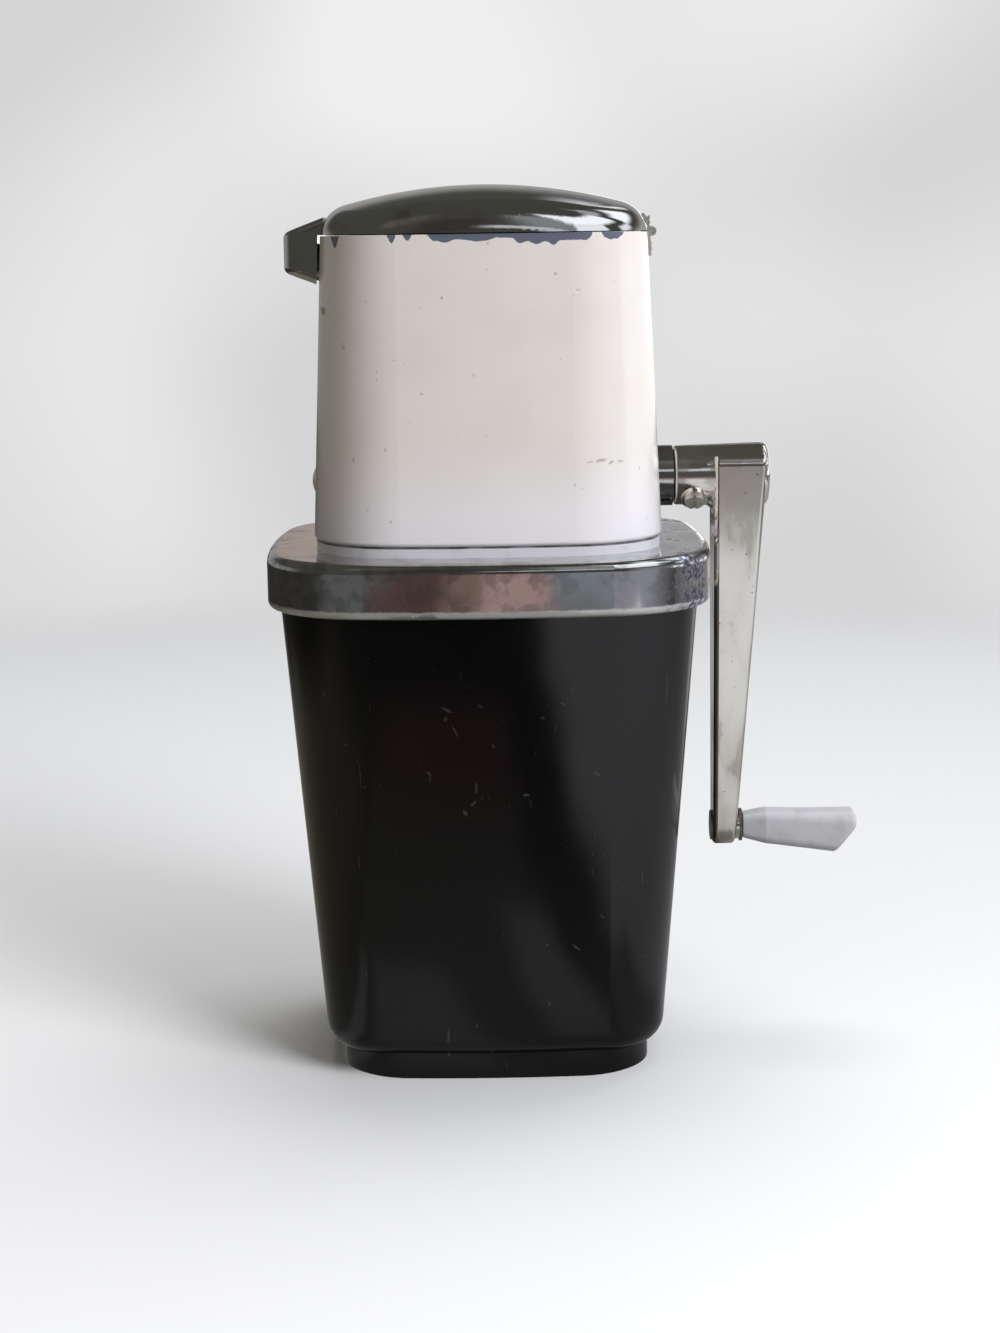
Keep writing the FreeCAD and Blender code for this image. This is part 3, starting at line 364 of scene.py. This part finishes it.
def makeNeckEnamel():
    look = neckEnamel
    material, tree, place = startFinish("stovedNeckEnamel")
    height = addNode(tree, "SeparateXYZ", {0: place}).outputs["Z"]
    below = look["seamHeight"] - look["seamSoft"]
    seam = addNode(tree, "MapRange", {"Value": height, "From Min": below * mm,
                                      "From Max": look["seamHeight"] * mm})
    dirtCloud = addNode(tree, "TexNoise", {"Vector": place, "Scale": 1000 / look["grimeMm"], "Detail": 6})
    dirtAndSeamShade = addNode(tree, "MapRange", {"Value": dirtCloud, **look["grimes"]})
    # painted shade mixed with grime along the seam
    seamShadeAndDirt = addNode(tree, "MapRange", {"Value": dirtCloud, **look["seamShadeGrimes"]})
    seam = addNode(tree, "Math", {0: seam, 1: seamShadeAndDirt}, operation="MULTIPLY")
    dirtAndSeamShade = addNode(tree, "Math", {0: seam, 1: dirtAndSeamShade}, operation="MAXIMUM")
    colour = addNode(tree, "Mix", {0: dirtAndSeamShade, 6: linear(look["colour"]), 7: linear(look["grimeAndSeamShade"])},
                     data_type="RGBA")
    shader = addNode(tree, "BsdfPrincipled", {"Base Color": colour, "Roughness": look["roughness"]})
    endFinish(tree, shader)
    return material


# Black polystyrene, injection moulded in a polished mould: a deep gloss with faint flow waves,
# hair scratches from use, and a little dust that stands out because the plastic is so dark.
blackPolystyrene = {
    "colour": "#060607",
    "mark": "#8a8781",
    "roughness": 0.1,
    "ior": 1.5,
    "marked": 0.4,           # how much a mark adds to the roughness
    "handledMm": 24,         # the size of the patches that hands have rubbed
    "handled": {"From Min": 0.48, "From Max": 0.62},
    "scratchMm": 0.8,        # drawn wider than the real hairs, so that they show
    "scratchTurn": (0, 0.35, 0),
    "scratchStretch": (1, 1, 0.1),
    "scratchWander": 0.4,
    "scratches": {"From Min": 0.74, "From Max": 0.79, "To Max": 0.12},
    "dustMm": 1.0,
    "dust": {"From Min": 0.77, "From Max": 0.81, "To Max": 0.25},
    "knockStrength": 0.19,   # for the list of knocks, as a share of the mark's colour
    "rubbed": (-0.04, 0.06),           # how far rubbing takes the roughness down and up
    "rubbedMm": 12,
    "flowMm": 32,
    "flowDepthMm": 0.02,
}
cupMarks = [                 # across, up, half length, half width, lean, strength
    (-11.2, 103.5, 1.5, 0.4, -65, 0.7), (-11.6, 101.0, 0.6, 0.5, 20, 0.6), (-9.2, 97.8, 2.0, 0.3, -26, 0.6),
    (-2.7, 104.5, 0.9, 0.4, -60, 0.3), (-16.2, 86.3, 1.3, 0.35, -50, 0.6), (-16.0, 84.8, 0.9, 0.3, 5, 0.4),
    (0.5, 93.7, 0.7, 0.4, -10, 0.5), (-4.0, 82.4, 1.7, 0.3, 6, 0.6), (-4.8, 78.2, 1.1, 0.35, 45, 0.7),
    (-7.0, 75.6, 1.1, 0.45, -30, 0.8), (8.9, 80.3, 0.9, 0.4, 88, 0.8), (10.1, 78.0, 1.4, 0.25, -10, 0.3),
    (13.5, 101.0, 0.8, 0.5, 70, 0.3), (27.7, 85.4, 1.4, 0.35, -55, 0.6), (21.7, 37.8, 1.4, 0.35, -50, 0.7),
    (28.6, 46.2, 1.0, 0.3, -50, 0.5), (-12.6, 13.0, 2.3, 0.35, 3, 0.7), (-12.7, 7.2, 1.0, 0.5, 0, 0.9),
    (-5.0, 16.0, 0.9, 0.3, 5, 0.5), (-1.0, 8.0, 0.9, 0.4, 0, 0.8), (46.1, 107.0, 4.2, 0.22, 2, 0.5),
    (-43.2, 107.1, 0.7, 0.4, 30, 0.5), (-37.8, 93.9, 0.8, 0.3, 60, 0.4), (14.5, 22.0, 0.7, 0.4, 20, 0.5),
]


def makeBlackPolystyrene():
    look = blackPolystyrene
    material, tree, place = startFinish("mouldedBlackPolystyrene")
    handled = addNode(tree, "TexNoise", {"Vector": place, "Scale": 1000 / look["handledMm"], "Detail": 2})
    handled = addNode(tree, "MapRange", {"Value": handled, **look["handled"]})
    alongScratch = addNode(tree, "Mapping", {"Vector": place, "Rotation": look["scratchTurn"],
                                             "Scale": look["scratchStretch"]})
    scratchCloud = addNode(tree, "TexNoise", {"Vector": alongScratch, "Scale": 1000 / look["scratchMm"],
                                              "Detail": 1, "Distortion": look["scratchWander"]})
    scratch = addNode(tree, "MapRange", {"Value": scratchCloud, **look["scratches"]})
    dustCloud = addNode(tree, "TexNoise", {"Vector": place, "Scale": 1000 / look["dustMm"], "Detail": 1})
    dust = addNode(tree, "MapRange", {"Value": dustCloud, **look["dust"]})
    marks = addNode(tree, "Math", {0: scratch, 1: dust}, operation="MAXIMUM")
    marks = addNode(tree, "Math", {0: marks, 1: handled}, operation="MULTIPLY")
    knocks = longSpots(tree, place, cupMarks)
    knocks = addNode(tree, "Math", {0: knocks, 1: look["knockStrength"]}, operation="MULTIPLY")
    marks = addNode(tree, "Math", {0: marks, 1: knocks}, operation="MAXIMUM")
    colour = addNode(tree, "Mix", {0: marks, 6: linear(look["colour"]), 7: linear(look["mark"])},
                     data_type="RGBA")
    rubbed = addNode(tree, "TexNoise", {"Vector": place, "Scale": 1000 / look["rubbedMm"], "Detail": 5})
    smoother, duller = look["rubbed"]
    rough = addNode(tree, "MapRange", {"Value": rubbed, "To Min": look["roughness"] + smoother,
                                       "To Max": look["roughness"] + duller})
    rough = addNode(tree, "Math", {0: marks, 1: look["marked"], 2: rough}, operation="MULTIPLY_ADD")
    flowCloud = addNode(tree, "TexNoise", {"Vector": place, "Scale": 1000 / look["flowMm"], "Detail": 1})
    flow = addNode(tree, "Bump", {"Strength": 1.0, "Distance": look["flowDepthMm"] * mm,
                                  "Height": flowCloud})
    shader = addNode(tree, "BsdfPrincipled", {"Base Color": colour, "Roughness": rough, "Normal": flow,
                                              "IOR": look["ior"]})
    endFinish(tree, shader)
    return material


# Bare and worn metals: colour, darker colour, roughness, how metallic under its skin of oxide or grease, and
# the size of its grain along X, Y and Z in mm.
metals = {
    # nickel plate on the small pressed parts, rubbed satin: a broad warm sheen
    "satinNickelPlate": ("#ebe7df", "#b3aca0", 0.38, 0.85, (2.5, 2.5, 2.5)),
    # sand-cast aluminium, tumbled: pale, grainy, without a clear reflection
    "castAluminium": ("#b4b6b8", "#85878a", 0.42, 0.50, (2.0, 2.0, 2.0)),
    # stamped stainless blades, ground on their flats: fine streaks across the disc
    "groundStainless": ("#bcbcbd", "#8d8d8e", 0.24, 0.75, (6.0, 0.6, 6.0)),
    # turned and machined steel: bright, with the tool's fine rings
    "turnedSteel": ("#b9b9b8", "#8a8987", 0.22, 0.75, (0.9, 0.9, 0.9)),
    # oil-filled sintered bronze: brown-gold, dull, open-grained
    "sinteredBronze": ("#a98a55", "#7a6139", 0.50, 0.60, (0.8, 0.8, 0.8)),
    # steel that has lost its plate: brown and dull, with brighter rubbed places
    "tarnishedSteel": ("#7c7268", "#4a3f35", 0.42, 0.70, (1.5, 1.5, 1.5)),
}
metalWear = {
    "markMm": 8,
    "marks": {"From Min": 0.45, "From Max": 0.78, "To Max": 0.7},
    "roughSpread": 0.07,     # how much the grain varies the roughness, each way
    "grainDepthMm": 0.02,
    "grainSharpness": 0.5,
}


def makeMetal(name):
    look = metalWear
    colour, shade, roughness, metallic, grain = metals[name]
    material, tree, place = startFinish(name)
    stretched = addNode(tree, "Mapping", {"Vector": place, "Scale": [1000 / size for size in grain]})
    fine = addNode(tree, "TexNoise", {"Vector": stretched, "Scale": 1.0, "Detail": 5})
    markCloud = addNode(tree, "TexNoise", {"Vector": place, "Scale": 1000 / look["markMm"], "Detail": 5})
    marks = addNode(tree, "MapRange", {"Value": markCloud, **look["marks"]})
    both = addNode(tree, "Mix", {0: marks, 6: linear(colour), 7: linear(shade)}, data_type="RGBA")
    rough = addNode(tree, "MapRange", {"Value": fine, "To Min": roughness - look["roughSpread"],
                                       "To Max": roughness + look["roughSpread"]})
    bump = addNode(tree, "Bump", {"Strength": look["grainSharpness"],
                                  "Distance": look["grainDepthMm"] * mm, "Height": fine})
    shader = addNode(tree, "BsdfPrincipled", {"Base Color": both, "Metallic": metallic, "Roughness": rough,
                                              "Normal": bump})
    endFinish(tree, shader)
    return material


# Nickel plate on the cast crank, polished and then dulled by hands: a clear soft mirror, cloudy stains
# with sharp drawn-out edges, a few pits, and brown tarnish at its low end.
nickelPlate = {
    "colour": "#efebe3",
    "stain": "#c4bdb0",
    "tarnish": "#6b5d4b",
    "pit": "#7a756c",
    "roughness": 0.1,
    "stained": 0.16,         # how much a stain adds to it
    "tarnished": 0.3,        # and how much tarnish does
    "stainMm": (9, 9, 24),
    "stainWander": 0.5,
    "sharpStains": {"From Min": 0.5, "From Max": 0.56, "To Max": 0.5},
    "softStains": {"From Min": 0.4, "From Max": 0.7, "To Max": 0.35},
    "pitMm": 1.2,
    "pits": {"From Min": 0.72, "From Max": 0.78, "To Max": 0.8},
    "pitDepthMm": 0.04,
    "pitSharpness": 0.5,
    "castMm": 9,             # the soft unevenness left from the mould
    "castDepthMm": 0.03,
    "low": (108, 62, 54),    # the heights where the tarnish begins, turns thick and is full, mm
    "thin": 0.6,             # how strong it is where it turns thick
}


def makeNickelPlate():
    look = nickelPlate
    material, tree, place = startFinish("polishedNickelPlate")
    drawnOut = addNode(tree, "Mapping", {"Vector": place,
                                         "Scale": [1000 / size for size in look["stainMm"]]})
    stainCloud = addNode(tree, "TexNoise", {"Vector": drawnOut, "Scale": 1.0, "Detail": 6,
                                            "Distortion": look["stainWander"]})
    stain = addNode(tree, "MapRange", {"Value": stainCloud, **look["sharpStains"]})
    softStain = addNode(tree, "MapRange", {"Value": stainCloud, **look["softStains"]})
    stain = addNode(tree, "Math", {0: stain, 1: softStain}, operation="MAXIMUM")
    colour = addNode(tree, "Mix", {0: stain, 6: linear(look["colour"]), 7: linear(look["stain"])},
                     data_type="RGBA")
    height = addNode(tree, "SeparateXYZ", {0: place}).outputs["Z"]
    begin, turn, full = look["low"]
    faint = addNode(tree, "MapRange", {"Value": height, "From Min": begin * mm, "From Max": turn * mm,
                                       "To Max": look["thin"]}, interpolation_type="SMOOTHSTEP")
    strong = addNode(tree, "MapRange", {"Value": height, "From Min": turn * mm, "From Max": full * mm},
                     interpolation_type="SMOOTHSTEP")
    low = addNode(tree, "Math", {0: faint, 1: strong}, operation="ADD")
    brown = addNode(tree, "Math", {0: stainCloud, 1: low}, operation="MULTIPLY", use_clamp=True)
    colour = addNode(tree, "Mix", {0: brown, 6: colour, 7: linear(look["tarnish"])}, data_type="RGBA")
    speck = addNode(tree, "TexNoise", {"Vector": place, "Scale": 1000 / look["pitMm"], "Detail": 2})
    pits = addNode(tree, "MapRange", {"Value": speck, **look["pits"]})
    colour = addNode(tree, "Mix", {0: pits, 6: colour, 7: linear(look["pit"])}, data_type="RGBA")
    rough = addNode(tree, "MapRange", {"Value": stain, "To Min": look["roughness"],
                                       "To Max": look["roughness"] + look["stained"]})
    rough = addNode(tree, "Math", {0: brown, 1: look["tarnished"], 2: rough}, operation="MULTIPLY_ADD")
    castCloud = addNode(tree, "TexNoise", {"Vector": place, "Scale": 1000 / look["castMm"], "Detail": 1})
    cast = addNode(tree, "Bump", {"Strength": 1.0, "Distance": look["castDepthMm"] * mm,
                                  "Height": castCloud})
    dent = addNode(tree, "Bump", {"Strength": look["pitSharpness"], "Distance": look["pitDepthMm"] * mm,
                                  "Height": pits, "Normal": cast}, invert=True)
    shader = addNode(tree, "BsdfPrincipled", {"Base Color": colour, "Metallic": 1.0, "Roughness": rough,
                                              "Normal": dent})
    endFinish(tree, shader)
    return material


# Pale urea resin, compression moulded: matt, a little see-through at its edges, marked by use.
paleUrea = {
    "colour": "#c0bfc2",
    "mark": "#9b9799",
    "markMm": 5,
    "marks": {"From Min": 0.5, "From Max": 0.8, "To Max": 0.6},
    "grainMm": 0.8,
    "grainDepthMm": 0.02,
    "grainSharpness": 0.3,
    "roughness": 0.36,
    "seeThrough": 0.1,
    "depthMm": 1.5,          # how far light runs under the surface
}


def makePaleUrea():
    look = paleUrea
    material, tree, place = startFinish("mouldedPaleUrea")
    markCloud = addNode(tree, "TexNoise", {"Vector": place, "Scale": 1000 / look["markMm"], "Detail": 6})
    marks = addNode(tree, "MapRange", {"Value": markCloud, **look["marks"]})
    colour = addNode(tree, "Mix", {0: marks, 6: linear(look["colour"]), 7: linear(look["mark"])},
                     data_type="RGBA")
    grain = addNode(tree, "TexNoise", {"Vector": place, "Scale": 1000 / look["grainMm"], "Detail": 3})
    bump = addNode(tree, "Bump", {"Strength": look["grainSharpness"],
                                  "Distance": look["grainDepthMm"] * mm, "Height": grain})
    shader = addNode(tree, "BsdfPrincipled", {"Base Color": colour, "Roughness": look["roughness"],
                                              "Normal": bump, "Subsurface Weight": look["seeThrough"],
                                              "Subsurface Scale": look["depthMm"] * mm})
    endFinish(tree, shader)
    return material


def dress(finish, nodes):
    # every face of these nodes takes the finish
    for name in nodes:
        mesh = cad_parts[name].data
        mesh.materials.clear()
        mesh.materials.append(finish)
        mesh.polygons.foreach_set("material_index", np.zeros(len(mesh.polygons), dtype=np.int32))


dress(makeMetal("turnedSteel"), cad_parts)
dress(makeMetal("groundStainless"), [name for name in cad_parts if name.startswith("blade_")])
dress(makeMetal("castAluminium"), ["hopper", "comb_fine", "comb_coarse"])
dress(makeMetal("sinteredBronze"), ["left_bearing"])
dress(makeMetal("tarnishedSteel"), ["knob_washer", "knob_spindle"])
dress(makeMetal("satinNickelPlate"),
      ["hinge_leaf", "hinge_rivets", "hinge_pin", "lid_strap", "strap_rivets", "set_screw"])
dress(makeNickelPlate(), ["crank_arm"])
dress(makeChromePlate("polishedChromePlate", False), ["lid", "lid_tab", "right_bearing"])
dress(makeChromePlate("pittedChromePlate", True), ["collar"])
dress(makeCreamEnamel(), ["housing", "left_cap"])
dress(makeNeckEnamel(), ["neck_ring"])
dress(makeBlackPolystyrene(), ["cup"])
dress(makePaleUrea(), ["knob"])
print("finishes on")


# The studio floor is a pale cloth to the camera. To every other ray it glows with another picture, painted
# light that the plastic and the plate mirror and that lights the piece: a lit stretch on the right, its
# faint folds near the foot, and a dark room on the left.
floorLook = {
    "nearRings": (0.01, 1.0, 20),      # its rings of points: first and last radius in metres, how many
    "farRings": (1.2, 3.0, 6),
    "around": 96,            # points in a ring
    "edge": (0.66, 0.92),    # where the cloth begins to give way to the backdrop and has gone, metres
    "cloth": "#ececec",
    "dark": "#3c3a37",
    "ripple": 0.05,          # how uneven the edges look, for each metre away
    "rippleSize": 0.05,      # metres
}
# the painted light it glows with: middle, half size and soft edge in metres, lean to the right going back,
# colour, strength
floorGlowPatches = [
    ((0.30, -2.30), (1.20, 0.85), (0.20, 0.10), 0.0, "#74777e", 0.46),
    ((-0.55, -1.40), (0.42, 0.90), (0.10, 0.20), 0.0, "#8f9191", 0.50),
    ((1.00, -1.10), (0.76, 0.70), (0.03, 0.30), 0.0, "#dcdcec", 0.50),
    ((0.20, -1.05), (0.06, 0.35), (0.02, 0.15), 0.0, "#c8d6e2", 0.46),
    ((-0.16, -1.05), (0.09, 0.35), (0.03, 0.15), 0.0, "#a3827e", 0.30),
    ((-0.05, -1.05), (0.05, 0.35), (0.012, 0.15), 0.0, "#c4a59a", 0.44),
    ((0.06, -1.05), (0.08, 0.35), (0.008, 0.15), 0.0, "#ecc6c1", 0.58),
    ((0.175, -0.87), (0.055, 0.10), (0.01, 0.01), 0.0, "#dfe5e8", 0.28),
    ((0.34, -0.23), (0.2835, 0.51), (0.010, 0.02), 0.0, "#eef0f4", 0.84),
    ((0.072, -0.055), (0.024, 0.060), (0.014, 0.020), 0.0, "#e8ecf0", 0.30),
    ((-0.04, -0.27), (0.052, 0.065), (0.012, 0.02), 0.0, "#b88888", 0.38),
    ((-0.04, -0.14), (0.06, 0.09), (0.012, 0.04), 0.0, "#e8e6d8", 0.20),
    ((0.022, -0.105), (0.011, 0.045), (0.006, 0.02), 0.20, "#e8e8e6", 0.60),
    ((-0.03, -0.08), (0.020, 0.03), (0.008, 0.015), 0.40, "#e8e8e6", 0.52),
    ((-0.070, -0.065), (0.010, 0.035), (0.005, 0.012), 0.40, "#e8ecf0", 0.75),
    ((0.60, 0.55), (0.80, 0.60), (0.20, 0.25), 0.0, "#e8e8ea", 0.40),
    ((-0.26, 0.02), (0.16, 0.30), (0.08, 0.12), 0.0, "#e8e0c4", 0.27),
]


def makeFloor():
    # a level disc: x is the radius times the cosine of the angle, y the radius times its sine, z is 0
    look = floorLook
    rings = np.concatenate([np.linspace(*look["nearRings"]), np.linspace(*look["farRings"])])
    around = np.linspace(0, 2 * np.pi, look["around"], endpoint=False)
    radius, angle = np.meshgrid(rings, around, indexing="ij")
    points = np.stack([radius * np.cos(angle), radius * np.sin(angle), 0 * radius], -1).reshape(-1, 3)
    row, column = np.meshgrid(np.arange(len(rings) - 1), np.arange(len(around)), indexing="ij")
    after = (column + 1) % len(around)
    corners = [row * len(around) + column, (row + 1) * len(around) + column,
               (row + 1) * len(around) + after, row * len(around) + after]
    faces = np.stack(corners, -1).reshape(-1, 4).tolist() + [list(range(len(around)))]
    mesh = bpy.data.meshes.new("floor")
    mesh.from_pydata(points.tolist(), [], faces)
    floor = bpy.data.objects.new("floor", mesh)
    bpy.context.scene.collection.objects.link(floor)

    material, tree, place = startFinish("paleCloth")
    split = addNode(tree, "SeparateXYZ", {0: place})
    reach = addNode(tree, "VectorMath", {0: place}, operation="LENGTH")
    cloth = addNode(tree, "BsdfDiffuse", {"Color": linear(look["cloth"])})
    beyond = addNode(tree, "BsdfTransparent")
    begin, gone = look["edge"]
    away = addNode(tree, "MapRange", {"Value": reach, "From Min": begin, "From Max": gone},
                   interpolation_type="SMOOTHSTEP")
    seen = addNode(tree, "MixShader", {0: away, 1: cloth, 2: beyond})

    rippleCloud = addNode(tree, "TexNoise", {"Vector": place, "Scale": 1 / look["rippleSize"], "Detail": 2})
    ripple = addNode(tree, "MapRange", {"Value": rippleCloud, "To Min": -look["ripple"],
                                        "To Max": look["ripple"]})
    sideways = addNode(tree, "Math", {0: ripple, 1: reach, 2: split.outputs["X"]}, operation="MULTIPLY_ADD")
    mirrored = linear(look["dark"])
    for middle, half, soft, lean, colour, strength in floorGlowPatches:
        across = addNode(tree, "Math", {0: split.outputs["Y"], 1: -lean, 2: sideways},
                         operation="MULTIPLY_ADD")
        centre = (middle[0] - lean * middle[1], middle[1])
        mask = softRectangle(tree, across, split.outputs["Y"], centre, half, soft)
        mirrored = addNode(tree, "Mix", {0: mask, 6: mirrored, 7: linear(colour, strength)},
                           data_type="RGBA")
    # the floor glows with this painted light for every ray but the camera's
    paintedGlow = addNode(tree, "Emission", {"Color": mirrored})
    camera = addNode(tree, "LightPath").outputs["Is Camera Ray"]
    endFinish(tree, addNode(tree, "MixShader", {0: camera, 1: paintedGlow, 2: seen}))
    mesh.materials.append(material)


# The room around the piece: a pale backdrop, which the metal shows behind the piece too, and in front high
# windows on the right, dark walls and a dark ceiling, which only the metal and the gloss show.
room = {
    "dark": "#504f4a",
    "behind": ((180, 6), (80, 11), (20, 5)),       # the mirrored backdrop: where it is, as for the patches
    "behindSeen": 0.38,      # how strongly the metal shows it
    "backdrop": "#d4d4d5",
    "backdropLight": "#efefef",
    "foldScale": 5.0,        # how close its soft folds of light and dark are
    "folds": {"From Min": 0.35, "From Max": 0.7},
}
# what is mirrored in it: middle, half size and soft edge in azimuth and elevation, degrees, with the front
# at 0 and the right at 90; colour, strength
roomPatches = [
    ((-176, 7), (4, 2), (2, 1), "#ffb070", 0.20),
    ((175, 7), (4, 2), (2, 1), "#b8c8ce", 0.10),
    ((95, 6), (60, 12), (15, 8), "#eef2fa", 0.35),
    ((130, -2), (49, 7), (2, 2), "#f6f4fa", 2.00),
    ((-7, 32), (7, 18), (3, 6), "#453f40", 1.00),
    ((-34, 56), (12, 12), (8, 8), "#6a6761", 1.00),
    ((18, 42), (10, 18), (5, 5), "#eef2fa", 0.38),
    ((9, 23), (9, 4), (3, 2), "#eef2fa", 0.85),
    ((63.5, 55), (40.5, 12), (3, 4), "#eef2fa", 1.80),
    ((47.5, 36), (24.5, 8), (3, 3), "#eef2fa", 1.50),
    ((135, 40), (18, 9), (3, 4), "#eef2fa", 1.80),
    ((106, 28), (11, 5), (4, 3), "#eef2fa", 1.40),
    ((124, 64), (16, 6), (4, 4), "#eef2fa", 0.80),
    ((169, 25), (5, 4), (3, 2), "#eef2fa", 1.20),
]


def directionMask(tree, azimuth, elevation, middle, half, soft):
    # 1 where the direction is inside a rectangle of azimuth and elevation, in degrees
    turned = addNode(tree, "Math", {0: azimuth, 1: middle[0]}, operation="SUBTRACT")
    turned = addNode(tree, "Math", {0: turned, 1: 180.0, 2: -180.0}, operation="WRAP")
    return softRectangle(tree, turned, elevation, (0, middle[1]), half, soft)


def makeRoom():
    world = bpy.data.worlds.new("room")
    bpy.context.scene.world = world
    world.use_nodes = True
    tree = world.node_tree
    tree.nodes.clear()
    direction = addNode(tree, "TexCoord").outputs["Generated"]
    split = addNode(tree, "SeparateXYZ", {0: direction})
    ahead = addNode(tree, "Math", {0: split.outputs["Y"], 1: -1.0}, operation="MULTIPLY")
    azimuth = addNode(tree, "Math", {0: split.outputs["X"], 1: ahead}, operation="ARCTAN2")
    azimuth = addNode(tree, "Math", {0: azimuth}, operation="DEGREES")
    elevation = addNode(tree, "Math", {0: split.outputs["Z"]}, operation="ARCSINE")
    elevation = addNode(tree, "Math", {0: elevation}, operation="DEGREES")
    mirrored = linear(room["dark"])
    for middle, half, soft, colour, strength in roomPatches:
        mask = directionMask(tree, azimuth, elevation, middle, half, soft)
        mirrored = addNode(tree, "Mix", {0: mask, 6: mirrored, 7: linear(colour, strength)},
                           data_type="RGBA")
    fold = addNode(tree, "TexNoise", {"Vector": direction, "Scale": room["foldScale"], "Detail": 1})
    fold = addNode(tree, "MapRange", {"Value": fold, **room["folds"]})
    backdrop = addNode(tree, "Mix", {0: fold, 6: linear(room["backdrop"]), 7: linear(room["backdropLight"])},
                       data_type="RGBA")
    ray = addNode(tree, "LightPath").outputs
    shiny = addNode(tree, "Math", {0: ray["Is Glossy Ray"], 1: ray["Is Transmission Ray"]},
                    operation="MAXIMUM")
    behind = directionMask(tree, azimuth, elevation, *room["behind"])
    behind = addNode(tree, "Math", {0: behind, 1: room["behindSeen"]}, operation="MULTIPLY")
    shown = addNode(tree, "Math", {0: shiny, 1: behind, 2: ray["Is Camera Ray"]}, operation="MULTIPLY_ADD",
                    use_clamp=True)
    light = addNode(tree, "Mix", {0: shown, 6: mirrored, 7: backdrop}, data_type="RGBA")
    background = addNode(tree, "Background", {"Color": light, "Strength": 1.0})
    addNode(tree, "OutputWorld", {"Surface": background})


# azimuth from the front towards the right and elevation in degrees, distance and size in metres,
# power in watts, colour
lamps = {
    "keyLamp": (42, 30, 1.25, 0.60, 11.7, "#fafbff"),
    "fillLamp": (-42, 25, 1.30, 0.90, 2.0, "#fff6ec"),
    "topLamp": (165, 74, 1.30, 0.90, 8.6, "#ffffff"),
}
lampAim = 0.12               # the height that the lamps point at, metres


def makeLamps():
    for name, (azimuth, elevation, distance, size, power, colour) in lamps.items():
        data = bpy.data.lights.new(name, "AREA")
        data.shape = "DISK"
        data.size = size
        data.energy = power
        data.color = linear(colour)[:3]
        lamp = bpy.data.objects.new(name, data)
        bpy.context.scene.collection.objects.link(lamp)
        turn, rise = math.radians(azimuth), math.radians(elevation)
        away = Matrix.Rotation(turn, 4, "Z") @ Matrix.Rotation(math.pi / 2 - rise, 4, "X")
        back = Matrix.Translation((0, 0, distance))
        lamp.matrix_world = Matrix.Translation((0, 0, lampAim)) @ away @ back
        lamp.visible_camera = False
        lamp.visible_glossy = False


cameraLook = {
    "place": (0.00263, -0.65881, 0.22209),         # metres
    "pitch": 10.015,         # degrees down
    "roll": -0.843,          # degrees
    "sensor": 36,            # mm, along the frame's height
    "frameHeight": 1333,     # pixels
    "focal": 2400,           # pixels
    "nearest": 0.05,         # metres
}


def makeCamera():
    look = cameraLook
    data = bpy.data.cameras.new("camera")
    data.lens = look["focal"] / look["frameHeight"] * look["sensor"]
    data.sensor_width = look["sensor"]
    data.clip_start = look["nearest"]
    camera = bpy.data.objects.new("camera", data)
    bpy.context.scene.collection.objects.link(camera)
    tilt = Matrix.Rotation(math.radians(90 - look["pitch"]), 4, "X")
    lean = Matrix.Rotation(math.radians(look["roll"]), 4, "Z")
    camera.matrix_world = Matrix.Translation(look["place"]) @ tilt @ lean
    bpy.context.scene.camera = camera


makeFloor()
makeRoom()
makeLamps()
makeCamera()
bpy.context.scene.view_settings.view_transform = "Standard"
print("stage set")
